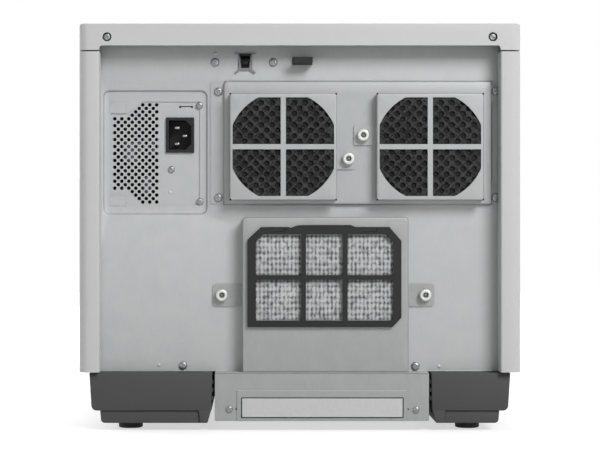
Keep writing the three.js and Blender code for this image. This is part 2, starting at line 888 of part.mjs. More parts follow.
// Fan frame: a square with a round bore, a back plate on struts and feet for the motor
function fanFrame() {
  const half = fanSize / 2;
  const ring = cut(
    block(-half, half, 0, fanDepth, -half, half),
    rodY(0, 0, fanBore / 2, -overrun, fanDepth + overrun, fineSides),
  );
  const hub = rodY(0, 0, fanHubRadius, 0, fanBackPlate, coarseSides);
  const strut = fanStrutWidth / 2;
  const struts = [
    block(-half + fanTipGap, half - fanTipGap, 0, fanBackPlate, -strut, strut),
    block(-strut, strut, 0, fanBackPlate, -half + fanTipGap, half - fanTipGap),
  ];
  return join(ring, hub, ...struts);
}

// Fan rotor: a hub cup with pitched blades
function fanRotor() {
  const y0 = fanBackPlate + fitGap;
  const y1 = fanDepth - fanTipGap;
  const tip = fanBore / 2 - fanTipGap;
  const middle = (y0 + y1) / 2;
  const blades = [];
  const reach = fanHubRadius - overrun;
  for (let i = 0; i < fanBladeCount; i += 1) {
    const blade = new THREE.BoxGeometry(fanBladeThick, fanBladeWidth / Math.SQRT2, tip - reach);
    blade.translate(0, 0, (tip + reach) / 2);
    blade.rotateZ(fanBladePitch * degree);
    blade.rotateY(i * 2 * halfTurn / fanBladeCount);
    blade.translate(0, middle, 0);
    blades.push(solidOf(blade));
  }
  return join(rodY(0, 0, fanHubRadius, y0, y1, coarseSides), ...blades);
}

function foamPad() {
  const half = boxSide / 2 - sheet - runGap;
  return block(-half, half, 0, foamThick, -half, half);
}

// Thumbscrew: a head with a driver recess and a shank; y = 0 is the face that the head sits on
function thumbscrew() {
  const top = fitGap + thumbHeight;
  const recessFloor = top - thumbRecessDepth;
  return cut(
    join(
      rodY(0, 0, thumbRadius, fitGap, top),
      rodY(0, 0, thumbShankRadius, -thumbShankReach, fitGap + overrun),
    ),
    rodY(0, 0, thumbRecessRadius, recessFloor, top + overrun, thumbRecessSides),
  );
}

// Filter housing: a box on the rear panel with cut top corners, tabs and one large opening
function filterHousing() {
  const cuts = [0, 0, housingCorner, housingCorner];
  const outer = cutRect(housingX0, floorZ, housingX1, housingTop, cuts);
  const inner = cutRect(housingX0 + sheet, floorZ - overrun, housingX1 - sheet, housingTop - sheet, cuts);
  const tabZ0 = floorZ + housingTabLift;
  const tabZ1 = tabZ0 + housingTabHeight;
  const tabs = block(housingX0 - housingTabReach, housingX1 + housingTabReach, panelRear, panelRear + sheet,
    tabZ0, tabZ1);
  return cut(
    join(prismY(outer, panelRear, housingFace), tabs),
    prismY(inner, panelRear - overrun, housingFace - sheet),
    block(frameX0 + housingLip, frameX1 - housingLip, housingFace - sheet - overrun, rearY,
      frameZ0 + housingLip, frameZ1 - housingLip),
    ...thumbHoles(),
  );
}

// Filter frame: bars round six windows, cut top corners and a raised middle with a finger notch each side
function filterFrame() {
  const cuts = [0, frameCornerCut * (1 - thumbTabShare / 2), frameCornerCut, frameCornerCut];
  const outline = cutRect(frameX0, frameZ0, frameX1, frameZ1, cuts);
  const y0 = housingFace + fitGap;
  const y1 = y0 + frameThick;
  const humpHalf = frameWidth * frameHumpShare / 2;
  const middleX = (frameX0 + frameX1) / 2;
  const hump = block(middleX - humpHalf, middleX + humpHalf, y0, y1, frameZ1 - overrun, frameZ1 + frameHump);
  const clearX = frameWidth - 2 * frameSideBar - 2 * frameMullion;
  const clearZ = frameZ1 - frameZ0 - 2 * frameTopBar - frameMullion;
  const windows = [];
  let x = frameX0 + frameSideBar;
  for (const share of frameWindowShares) {
    const next = x + clearX * share;
    for (const row of [0, 1]) {
      const z = frameZ0 + frameTopBar + row * (clearZ / 2 + frameMullion);
      windows.push(block(x, next, y0 - overrun, y1 + overrun, z, z + clearZ / 2));
    }
    x = next + frameMullion;
  }
  return cut(join(prismY(outline, y0, y1), hump), ...windows);
}

function filterPad() {
  const y1 = housingFace - sheet;
  return block(frameX0 + padMargin, frameX1 - padMargin, y1 - padThick, y1, frameZ0 + padMargin,
    frameZ1 - padMargin);
}

// Front frame round the disc bay, with a ledge under and over the door that carries the hinge pins
const hingeX = -sideX + doorThick / 2;
const hingeY = frontY + doorThick / 2;
const ledgeFront = frontY + casingWall + fitGap;
const doorZ0 = floorZ + frameLedge + doorEndGap;
const doorZ1 = deckZ - frameLedge - doorEndGap;

function frontFrame() {
  const x0 = -panSideX;
  const x1 = bayWallX - fitGap;
  const bar = frameBarWidth;
  const ring = cut(
    block(x0, x1, frameFront, frameRear, floorZ, deckZ),
    block(x0 + bar, x1 - bar, frameFront - overrun, frameRear + overrun, floorZ + bar, deckZ - bar),
  );
  const pinTop = doorZ0 + hingePinLength;
  const pinBottom = doorZ1 - hingePinLength;
  const ledge = roundedRect(x0, ledgeFront, x1, frameFront + fitGap, [casingRadius, 0, 0, 0]);
  return join(
    ring,
    prismZ(ledge, floorZ, floorZ + frameLedge),
    prismZ(ledge, deckZ - frameLedge, deckZ),
    rodZ(hingeX, hingeY, hingePinRadius, floorZ + frameLedge - overrun, pinTop),
    rodZ(hingeX, hingeY, hingePinRadius, pinBottom, deckZ - frameLedge + overrun),
  );
}

// Door: a moulded shell, round at its hinge edge, with a window behind an opening in its skin
const doorX1 = bayWallX - doorSideGap;
const doorRear = frontY + doorThick;
const windowX0 = hingeX + doorWindowInset;
const windowX1 = doorX1 - doorWindowInset;
const windowZ0 = doorZ0 + doorWindowInset;
const windowZ1 = doorZ1 - doorWindowInset;

function doorFrame() {
  const radius = doorThick / 2;
  const plan = new THREE.Shape();
  plan.moveTo(doorX1, frontY);
  plan.lineTo(doorX1, doorRear);
  plan.lineTo(hingeX, doorRear);
  plan.absarc(hingeX, hingeY, radius, quarterTurn, halfTurn + quarterTurn, false);
  const rim = doorRim;
  const gripZ = (doorZ0 + doorZ1 - doorGripHeight) / 2;
  const hingeBore = hingePinRadius + fitGap;
  const boreDepth = hingePinLength + runGap;
  return cut(
    prismZ(plan, doorZ0, doorZ1, fineSides / 4),
    block(hingeX + rim, doorX1 - rim, frontY + doorSkin, doorRear + overrun, doorZ0 + rim, doorZ1 - rim),
    block(windowX0, windowX1, frontY - overrun, frontY + doorSkin + overrun, windowZ0, windowZ1),
    block(doorX1 - doorGripWidth, doorX1 + overrun, frontY - overrun, frontY + doorGripDepth,
      gripZ, gripZ + doorGripHeight),
    rodZ(hingeX, hingeY, hingeBore, doorZ0 - overrun, doorZ0 + boreDepth),
    rodZ(hingeX, hingeY, hingeBore, doorZ1 - boreDepth, doorZ1 + overrun),
  );
}

function doorWindow() {
  const lap = doorPaneOverlap;
  const y0 = frontY + doorSkin;
  return block(windowX0 - lap, windowX1 + lap, y0, y0 + doorPaneThick, windowZ0 - lap, windowZ1 + lap);
}

// Front column: a shell beside the door, with openings for the controls and for the ink cover
const columnX0 = bayWallX + fitGap;
const columnTop = coverRim - fitGap;
const controlX0 = columnX0 + controlInset;
const controlX1 = sideX - controlInset;
const controlZ1 = columnTop - controlFromTop;
const controlZ0 = controlZ1 - controlHeight;
const inkX0 = columnX0 + inkCoverInset;
const inkX1 = sideX - inkCoverInset;
const inkZ0 = floorZ + inkCoverLift;
const inkZ1 = controlZ0 - inkCoverTopGap;

function frontColumn() {
  const radius = casingRadius;
  const outer = roundedRect(columnX0, frontY, sideX, frameRear, [0, radius, 0, 0]);
  const wall = mouldedWall;
  const inner = roundedRect(columnX0 + wall, frontY + wall, sideX - wall, frameRear + overrun,
    [0, radius - wall, 0, 0]);
  return cut(
    prismZ(outer, floorZ, columnTop),
    prismZ(inner, floorZ + wall, columnTop - wall),
    block(controlX0, controlX1, frontY - overrun, frontY + wall + overrun, controlZ0, controlZ1),
    block(inkX0, inkX1, frontY - overrun, frontY + wall + overrun, inkZ0, inkZ1),
  );
}

const controlFace = frontY + mouldedWall;
const buttonX = (controlX0 + controlX1) / 2;
const buttons = [
  { name: 'power_button', radius: powerButtonRadius, z: controlZ0 + controlHeight * powerButtonShare },
  { name: 'ink_button', radius: inkButtonRadius, z: controlZ0 + controlHeight * inkButtonShare },
];

function controlPanel() {
  const lap = controlFrameLap;
  const rear = controlFace + mouldedWall;
  return cut(
    block(controlX0 - lap, controlX1 + lap, controlFace, rear, controlZ0 - lap, controlZ1 + lap),
    ...buttons.map(({ radius, z }) => rodY(buttonX, z, radius + fitGap, controlFace - overrun, rear + overrun,
      fineSides)),
  );
}

// Button: a cap through the control panel with a flange behind it; y = 0 is the panel's face
function button(radius) {
  const behind = mouldedWall + fitGap;
  return join(
    rodY(0, 0, radius, -buttonLift, behind + buttonFlangeThick, fineSides),
    rodY(0, 0, radius + buttonFlange, behind, behind + buttonFlangeThick, fineSides),
  );
}

// Ink cover: flush in the column, hinged at its lower edge, which is round about the hinge
const inkHingeY = frontY + inkCoverThick / 2;
const inkHingeZ = inkZ0 + runGap + inkCoverThick / 2;

function inkCover() {
  const radius = inkCoverThick / 2;
  const side = new THREE.Shape();
  side.moveTo(frontY, inkZ1 - runGap);
  side.absarc(inkHingeY, inkHingeZ, radius, halfTurn, 2 * halfTurn, false);
  side.lineTo(frontY + inkCoverThick, inkZ1 - runGap);
  return prismX(side, inkX0 + runGap, inkX1 - runGap, coarseSides / 4);
}

// Ink cartridges side by side in a holder that stands on the base pan
function cartridgeSet() {
  const x0 = controlX0;
  const x1 = controlX1 - holderBackGap;
  const y0 = frameRear + holderFront;
  const y1 = y0 + cartridgeDepth;
  const top = floorZ + holderHeight;
  const holder = cut(
    block(x0, x1, y0, y1 + holderBackGap, floorZ, top),
    block(x0 + holderWall, x1 - holderWall, y0 + holderWall, y1 + holderBackGap - holderWall,
      floorZ + holderWall, top - holderWall),
    block(x0 + 2 * holderWall, x1 - 2 * holderWall, y1, y1 + holderBackGap + overrun,
      floorZ + 2 * holderWall, top - 2 * holderWall),
  );
  const pitch = (x1 - x0 + cartridgeGap) / cartridgeCount;
  const cartridges = [];
  const cartridgeBottom = top - holderWall / 2;
  for (let i = 0; i < cartridgeCount; i += 1) {
    const left = x0 + i * pitch;
    const right = left + pitch - cartridgeGap;
    cartridges.push(block(left, right, y0, y1, cartridgeBottom, top + cartridgeHeight));
  }
  return join(holder, ...cartridges);
}

// Two stacks beside the drives' end of the bay, then the drives from there to the fans
const stackX = -innerX + discRadius + stackerWallGap;
const frontStack = { x: stackX, y: frameRear + stackerFrontGap + discRadius };
const rearStack = { x: stackX, y: frontStack.y + 2 * discRadius + stackerPairGap };
const driveX = bayWallX - fitGap - driveWidth / 2;
const driveFront = rearStack.y + stackerBackGap;
const driveRear = fanFront - fanAirGap;
const driveDepth = driveRear - driveFront;
const driveZs = [upperDriveZ, lowerDriveZ];

// A drive's body; x = 0 is its middle and y = 0 its front
function driveBody() {
  const half = driveWidth / 2;
  const mouthHalf = trayWidth / 2 + runGap;
  const mouthTop = driveHeight - trayFromTop;
  return cut(
    block(-half, half, 0, driveDepth, 0, driveHeight),
    block(-mouthHalf, mouthHalf, -overrun, driveDepth - driveWall, mouthTop - trayMouthHeight, mouthTop),
  );
}

// Tray: a shallow round seat for a disc, a hole in its middle and a slot to the rear; z = 0 is its floor
function tray() {
  const half = trayWidth / 2;
  const middle = trayFrontMargin + discRadius;
  const plate = block(-half, half, 0, driveDepth - trayBackGap, 0, trayThick);
  return cut(
    plate,
    rodZ(0, middle, discRadius + fitGap, trayThick - trayRecess, trayThick + overrun, fineSides),
    rodZ(0, middle, trayHoleRadius, -overrun, trayThick + overrun, coarseSides),
    block(-trayHoleRadius, trayHoleRadius, middle, middle + discRadius - trayHoleRadius, -overrun,
      trayThick + overrun),
  );
}

const printerMouth = printerTrayLift + driveWall;
const roomZ0 = printerMouth + trayMouthHeight;
const roomY0 = driveDepth * carriageRoomInsetShare;
const roomY1 = roomY0 + driveDepth * carriageRoomDepthShare;
const rodZCentre = roomZ0 + carriageRoomHeight / 2;
const rodYCentre = (roomY0 + roomY1) / 2;

// Printer: a box with a mouth for its tray and a room above it where the print carriage runs on a rod
function printerBody() {
  const half = driveWidth / 2;
  const roomHalf = half - driveWall;
  const rodHalf = half - driveWall / 2;
  const mouthHalf = trayWidth / 2 + runGap;
  return join(
    cut(
      block(-half, half, 0, driveDepth, 0, printerHeight),
      block(-mouthHalf, mouthHalf, -overrun, driveDepth - driveWall, printerMouth, roomZ0),
      block(-roomHalf, roomHalf, roomY0, roomY1, roomZ0 - overrun, roomZ0 + carriageRoomHeight),
    ),
    rodX(rodYCentre, rodZCentre, carriageRodRadius, -rodHalf, rodHalf),
  );
}

function printCarriage() {
  const half = carriageWidth / 2;
  const bore = carriageRodRadius + fitGap;
  const z0 = rodZCentre - carriageHeight / 2;
  return cut(
    block(-half, half, roomY0 + carriageEndGap, roomY1 - carriageEndGap, z0, z0 + carriageHeight),
    rodX(rodYCentre, rodZCentre, bore, -carriageWidth, carriageWidth),
  );
}

// Main board on feet above the printer
function mainBoard() {
  const x0 = driveX - boardWidth / 2;
  const x1 = driveX + boardWidth / 2;
  const y1 = panelFront - runGap;
  const y0 = y1 - boardDepth;
  const size = boardFootSize;
  const footTop = boardTop - boardThick + fitGap;
  const feet = [];
  for (const x of [x0, x1 - size]) {
    for (const y of [y0, driveRear - size]) {
      feet.push(block(x, x + size, y, y + size, printerTop, footTop));
    }
  }
  return join(block(x0, x1, y0, y1, boardTop - boardThick, boardTop), ...feet);
}

// Where the middle of an open tray stops
const trayStop = { x: driveX, y: driveFront + trayFrontMargin + discRadius - trayTravel };

// The turret stands as far from the two stacks as from there, so that one arm reaches all three
const turretY = (frontStack.y + rearStack.y) / 2;
const stackRun = (rearStack.y - frontStack.y) / 2;
const trayRun = trayStop.y - turretY;
const turretX = (trayStop.x ** 2 - stackX ** 2 + trayRun ** 2 - stackRun ** 2) / (2 * (trayStop.x - stackX));
const armReach = Math.hypot(trayStop.x - turretX, trayRun);
const armAngle = Math.atan2(trayRun, trayStop.x - turretX);

// Stacker: a plate on the base pan with a hub and three posts; its open side faces +X before it is turned
function stacker(postAngles) {
  const inner = discRadius + discClear;
  const outer = inner + stackerPost;
  const half = stackerPostWidth / 2;
  const arms = postAngles.map((angle) => {
    const upright = new THREE.BoxGeometry(stackerPost, stackerPostWidth, stackerHeight);
    upright.translate(inner + stackerPost / 2, 0, stackerHeight / 2);
    upright.rotateZ(angle);
    const spoke = new THREE.BoxGeometry(outer - stackerPlateRadius / 2, 2 * half, stackerBase);
    spoke.translate((outer + stackerPlateRadius / 2) / 2, 0, stackerBase / 2);
    spoke.rotateZ(angle);
    return solidOf(upright).add(solidOf(spoke));
  });
  return join(
    rodZ(0, 0, stackerPlateRadius, 0, stackerBase, fineSides),
    rodZ(0, 0, stackerHubRadius, stackerBase - overrun, stackerBase + stackerHubHeight, coarseSides),
    ...arms,
  );
}

// Turret post: a tube with a slot for the belt, standing on the base pan and held under the deck
function turretPost() {
  const z0 = floorZ + postHeadRoom;
  const z1 = deckZ - postHeadRoom;
  return cut(
    rodZ(0, 0, postRadius, z0, z1, fineSides),
    rodZ(0, 0, postBore, z0 + mouldedWall, z1 + overrun, fineSides),
  );
}

const pulleyZ = deckZ - pulleyDrop;

function liftPulley() {
  const axleHalf = Math.sqrt(postBore ** 2 - pulleyAxleRadius ** 2) - fitGap;
  return join(
    rodY(0, 0, pulleyRadius, -pulleyThick / 2, pulleyThick / 2, coarseSides),
    rodY(0, 0, pulleyAxleRadius, -axleHalf, axleHalf, coarseSides / 2),
  );
}

// Arm: a collar round the post and a beam out to the boss that holds the gripper
const collarTop = deckZ - collarDrop;
const collarBottom = collarTop - collarHeight;

function arm() {
  const slide = postRadius + fitGap;
  return cut(
    join(
      rodZ(0, 0, collarRadius, collarBottom, collarTop, fineSides),
      block(collarRadius / 2, armReach, -armWidth / 2, armWidth / 2, collarBottom, collarBottom + armThick),
      rodZ(armReach, 0, armTipRadius, collarBottom, collarBottom + armThick, coarseSides),
    ),
    rodZ(0, 0, slide, collarBottom - overrun, collarTop + overrun, fineSides),
  );
}

// Gripper: a flange under the arm's boss and a nose that fits a disc's hole; z = 0 is the boss's underside
function gripper() {
  const profile = [
    [0, -gripperFlange - gripperNose],
    [gripperTipRadius, -gripperFlange - gripperNose],
    [gripperNoseRadius, -gripperFlange - gripperNose + gripperNoseRadius - gripperTipRadius],
    [gripperNoseRadius, -gripperFlange],
    [gripperFlangeRadius, -gripperFlange],
    [gripperFlangeRadius, 0],
    [0, 0],
  ];
  const points = profile.map(([radius, z]) => new THREE.Vector2(radius, z));
  const geometry = new THREE.LatheGeometry(points, coarseSides);
  geometry.rotateX(quarterTurn);
  return solidOf(geometry);
}

// Drawer for a few discs, which slides out of the base under the door
const drawerX = (wellX0 + wellX1) / 2;
const drawerFront = railFront - drawerFrontThick + fitGap;
const drawerFloor = wellZ + sheet + fitGap;

function drawer() {
  const half = drawerBoxWidth / 2;
  const boxFront = drawerFront + drawerFrontThick;
  const discY = boxFront + drawerBoxDepth / 2;
  const top = drawerFloor + drawerBoxHeight;
  const frontZ0 = wellZ + drawerFrontLip;
  return cut(
    join(
      block(drawerX - half, drawerX + half, boxFront - overrun, boxFront + drawerBoxDepth, drawerFloor, top),
      block(drawerX - drawerFrontWidth / 2, drawerX + drawerFrontWidth / 2, drawerFront, boxFront,
        frontZ0, frontZ0 + drawerFrontHeight),
    ),
    rodZ(drawerX, discY, discRadius + discClear, top - drawerWellDepth, top + overrun, fineSides),
  );
}

// Casing and chassis
piece('top_cover', topCover(), paint.casing);
piece('side_cover_left', sideCover(-1, frameFront + fitGap), paint.casing);
piece('side_cover_right', sideCover(1, frameRear + fitGap), paint.casing);
piece('top_deck', block(-panSideX, panSideX, frameFront, panelFront - fitGap, deckZ, deckTop), paint.zinc);
piece('base_pan', basePan(), paint.zinc);
piece('base_rail_left', baseRail(-1, slimRailWidth), paint.base);
piece('base_rail_right', baseRail(1, wideRailWidth), paint.base);
piece('bottom_cover', bottomCover(), paint.zinc);
piece('rear_panel', rearPanel(), paint.zinc);
for (const [side, sign] of [['left', -1], ['right', 1]]) {
  for (const [end, way] of [['front', -1], ['rear', 1]]) {
    foot(`foot_${end}_${side}`, sign * (sideX - footInset), way * (rearY - footInset));
  }
}

// Rear fittings
piece('psu_box', powerBox(), paint.zinc);
piece('psu_plate', powerPlate(), paint.zinc);
piece('ac_inlet', acInlet(), paint.black);
piece('usb_socket', usbSocket(), paint.black);
piece('usb_clip', usbClip(), paint.nickel);
piece('cable_hook', cableHook(), paint.black);
piece('fan_cover', fanCover(), paint.zinc);
piece('filter_housing', filterHousing(), paint.zinc);
piece('filter_pad', filterPad(), paint.pad);
piece('filter_frame', filterFrame(), paint.black);
fanXs.forEach((x, i) => {
  const fan = groupAt(x, fanFront, fanZ);
  piece(`fan_frame_${i + 1}`, fanFrame(), paint.black, fan);
  piece(`fan_rotor_${i + 1}`, fanRotor(), paint.black, fan);
  piece(`fan_foam_${i + 1}`, foamPad(), paint.foam, groupAt(x, fanRear + fitGap, fanZ));
});
thumbSeats.forEach(({ x, z, seat }, i) => {
  piece(`thumbscrew_${i + 1}`, thumbscrew(), paint.nickel, groupAt(x, seat, z));
});

// Front
piece('front_frame', frontFrame(), paint.casing);
piece('door_frame', doorFrame(), paint.casing);
piece('door_window', doorWindow(), paint.smoke);
piece('front_column', frontColumn(), paint.casing);
piece('control_panel', controlPanel(), paint.black);
piece('ink_cover', inkCover(), paint.casing);
piece('cartridge_set', cartridgeSet(), paint.black);
for (const { name, radius, z } of buttons) {
  piece(name, button(radius), paint.white, groupAt(buttonX, controlFace, z));
}

// Inside: walls, drives, printer and board
const wallFront = frameRear;
const cageX1 = driveX - driveWidth / 2 - fitGap;
piece('bay_wall', block(bayWallX, compartmentX, wallFront, panelFront - fitGap, floorZ, deckZ), paint.zinc);
piece('cage_plate', block(cageX1 - sheet, cageX1, driveFront, driveRear, floorZ, printerTop), paint.zinc);
driveZs.forEach((z, i) => {
  const drive = groupAt(driveX, driveFront, z);
  piece(`drive_${i + 1}_body`, driveBody(), paint.zinc, drive);
  const trayGroup = groupAt(driveX, driveFront, z + driveHeight - trayFromTop - trayMouthHeight + fitGap);
  piece(`drive_${i + 1}_tray`, tray(), paint.black, trayGroup);
});
const printer = groupAt(driveX, driveFront, printerBottom);
piece('printer_body', printerBody(), paint.white, printer);
piece('print_carriage', printCarriage(), paint.black, printer);
const printerTrayZ = printerBottom + printerMouth + fitGap;
piece('printer_tray', tray(), paint.black, groupAt(driveX, driveFront, printerTrayZ));
piece('main_board', mainBoard(), paint.board);

// Stackers, each turned so that its open side faces the turret
const postSide = quarterTurn;
const postFold = quarterTurn * postFoldShare;
const stackPlaces = [
  { place: frontStack, angles: [postSide, halfTurn, -postFold] },
  { place: rearStack, angles: [postFold, halfTurn, -postSide] },
  { place: trayStop, angles: [postSide, halfTurn, -postSide] },
];
stackPlaces.forEach(({ place, angles }, i) => {
  const turn = Math.atan2(turretY - place.y, turretX - place.x);
  piece(`stacker_${i + 1}`, stacker(angles), paint.white, groupAt(place.x, place.y, floorZ, turn));
});
piece('stacker_4', drawer(), paint.casing);

// Turret
piece('turret_post', turretPost(), paint.nickel, groupAt(turretX, turretY, 0));
piece('lift_pulley', liftPulley(), paint.black, groupAt(turretX, turretY, pulleyZ, armAngle));
piece('arm', arm(), paint.casing, groupAt(turretX, turretY, 0, armAngle));
piece('gripper', gripper(), paint.nickel, groupAt(trayStop.x, trayStop.y, collarBottom, armAngle));

export default machine;
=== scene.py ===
import json
import math
import bmesh
import bpy
from mathutils import Matrix, Vector


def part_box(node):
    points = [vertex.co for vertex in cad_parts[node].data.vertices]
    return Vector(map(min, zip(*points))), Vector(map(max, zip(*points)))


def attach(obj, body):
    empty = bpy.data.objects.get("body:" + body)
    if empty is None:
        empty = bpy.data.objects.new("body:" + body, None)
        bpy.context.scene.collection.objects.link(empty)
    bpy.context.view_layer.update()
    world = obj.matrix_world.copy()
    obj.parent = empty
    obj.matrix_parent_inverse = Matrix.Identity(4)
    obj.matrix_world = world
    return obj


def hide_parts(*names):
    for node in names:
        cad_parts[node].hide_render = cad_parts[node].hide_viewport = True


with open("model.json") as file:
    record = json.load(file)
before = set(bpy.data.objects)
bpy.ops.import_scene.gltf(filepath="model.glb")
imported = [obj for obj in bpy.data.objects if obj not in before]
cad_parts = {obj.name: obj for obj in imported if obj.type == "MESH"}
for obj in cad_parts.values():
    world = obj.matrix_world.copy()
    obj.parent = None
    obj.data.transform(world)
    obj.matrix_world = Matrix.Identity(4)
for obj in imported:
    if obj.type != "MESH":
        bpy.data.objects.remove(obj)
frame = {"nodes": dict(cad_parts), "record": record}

# Shapes are built in millimetres and shrunk to metres when a piece is made.
# x is across the machine, -y is its front, +y its rear, z is up.
scene = bpy.context.scene
nodes = frame["nodes"]
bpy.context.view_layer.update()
turns = {"Y": Matrix.Rotation(-math.pi / 2, 4, "X"), "Z": Matrix.Identity(4)}  # up turns to the rear or stays
swaps = {"X": Matrix(((0, 1, 0, 0), (1, 0, 0, 0), (0, 0, 1, 0), (0, 0, 0, 1))),
         "Z": Matrix(((1, 0, 0, 0), (0, 0, 1, 0), (0, 1, 0, 0), (0, 0, 0, 1)))}


# Colour and material helpers

def shade(colour):  # a colour as a picture gives it, 0 to 255, and one number is a grey
    parts = colour if isinstance(colour, tuple) else (colour,) * 3
    shares = [part / 255 for part in parts]
    return (*(v / 12.92 if v <= 0.04045 else ((v + 0.055) / 1.055) ** 2.4 for v in shares), 1)


def feed(tree, node, sockets):  # a number goes into its socket, another node's output is wired to it
    for socket, value in sockets.items():
        if isinstance(value, bpy.types.NodeSocket):
            tree.links.new(value, node.inputs[socket])
        else:
            node.inputs[socket].default_value = value


def addNode(tree, kind, sockets=None, **settings):
    node = tree.nodes.new(kind)
    for name, value in settings.items():
        setattr(node, name, value)
    feed(tree, node, sockets or {})
    return node


def placed(tree, stretch=(1, 1, 1), turn=(0, 0, 0)):  # object coordinates, turned and then stretched
    vector = addNode(tree, "ShaderNodeTexCoord").outputs["Object"]
    for socket, value in (("Rotation", turn), ("Scale", stretch)):
        vector = addNode(tree, "ShaderNodeMapping", {"Vector": vector, socket: value}).outputs["Vector"]
    return vector


def noise(tree, scale, detail=2, stretch=(1, 1, 1), turn=(0, 0, 0), distortion=0.0):
    return addNode(tree, "ShaderNodeTexNoise", {
        "Vector": placed(tree, stretch, turn), "Scale": scale, "Detail": detail,
        "Distortion": distortion}).outputs["Fac"]


def threads(tree, scale, direction):  # even bands along one axis, a little uneven in their width
    sockets = {"Vector": placed(tree), "Scale": scale, "Distortion": 1.2, "Detail Scale": 2}
    bands = addNode(tree, "ShaderNodeTexWave", sockets, wave_type="BANDS", bands_direction=direction)
    return bands.outputs["Fac"]


def mixed(tree, first, second, share):  # two patterns as one, share is the second's part
    return addNode(tree, "ShaderNodeMix", {0: share, 2: first, 3: second}, data_type="FLOAT").outputs[0]


# Patterns: each gives what the tone, the roughness and the relief of a finish follow

def grained(tree, fine, broad=9, share=0.5):
    wide, small = noise(tree, broad, 3), noise(tree, fine, 2)
    return mixed(tree, wide, small, share), wide, small


def spangled(tree):
    grain, spangle = noise(tree, 260, 3, (6, 6, 0.5)), noise(tree, 70, 2, distortion=0.6)
    tone = mixed(tree, grain, spangle, 0.5)
    return tone, tone, grain


def flecked(tree, scale, detail=2, stretch=(1, 1, 1)):
    return (noise(tree, scale, detail, stretch),) * 3


def dusted(tree):
    return noise(tree, 180, 4), None, noise(tree, 1800, 2)


def felted(tree):  # two layers of fibres that cross
    first, second = (noise(tree, 300, 3, (3, 1, 0.4), (0, lean, 0), 0.3) for lean in (0.75, -0.85))
    return (mixed(tree, first, second, 0.5),) * 3


def woven(tree, across=92, along=66, fibre=330):
    net = mixed(tree, threads(tree, across, "X"), threads(tree, along, "Z"), 0.42)
    return (mixed(tree, net, noise(tree, fibre, 4, (1, 0.1, 0.8), distortion=0.5), 0.7),) * 3


def tracked(tree):
    sockets = {"Vector": placed(tree, (1, 1, 0.01)), "Scale": 160}
    cells = addNode(tree, "ShaderNodeTexVoronoi", sockets, feature="F1")
    return (cells.outputs["Distance"],) * 3


def newMaterial(name, sockets):
    material = bpy.data.materials.new(name)
    material.use_nodes = True
    tree = material.node_tree
    shader = tree.nodes["Principled BSDF"]
    feed(tree, shader, sockets)
    return material, tree, shader


def makeFinish(name, dark, light, roughness, pattern, stops=(0.35, 0.65), spread=None,
               relief=(0.05, 0.0001), base=None, extra=None):
    sockets = {"Base Color": shade(base or light), "Roughness": roughness, **(extra or {})}
    material, tree, shader = newMaterial(name, sockets)
    maker, *values = pattern
    tone, smooth, height = maker(tree, *values)
    ramp = addNode(tree, "ShaderNodeValToRGB", {"Fac": tone})
    for element, place, colour in zip(ramp.color_ramp.elements, stops, (dark, light)):
        element.position, element.color = place, shade(colour)
    bump = addNode(tree, "ShaderNodeBump", {"Strength": relief[0], "Distance": relief[1], "Height": height})
    feed(tree, shader, {"Base Color": ramp.outputs["Color"], "Normal": bump.outputs["Normal"]})
    if spread:
        change = addNode(tree, "ShaderNodeMapRange", {
            "Value": smooth, "From Min": 0.3, "From Max": 0.7, "To Min": roughness + spread[0],
            "To Max": roughness + spread[1]})
        feed(tree, shader, {"Roughness": change.outputs["Result"]})
    return material


def makeMoulding(name, light, dark, roughness, grain=1500, depth=0.2, gloss=0.5):
    return makeFinish(name, dark, light, roughness, (grained, grain), spread=(-0.05, 0.06),
                      relief=(depth, 0.0001), extra={"Specular IOR Level": gloss})


def makeZincSheet(name, light, dark):
    return makeFinish(name, dark, light, 0.46, (spangled,), (0.32, 0.68), (-0.05, 0.07),
                      extra={"Metallic": 0.25})


def makePlating(name, light, dark, roughness, metallic, spread, relief, pattern):
    return makeFinish(name, dark, light, roughness, pattern, (0.3, 0.7), spread, (relief, 0.0001),
                      extra={"Metallic": metallic})


def makeLens(name, light):
    dark = tuple(part * 0.8 for part in light)
    return makeFinish(name, dark, light, 0.18, (flecked, 500), (0.3, 0.7), extra={"Coat Weight": 0.6})


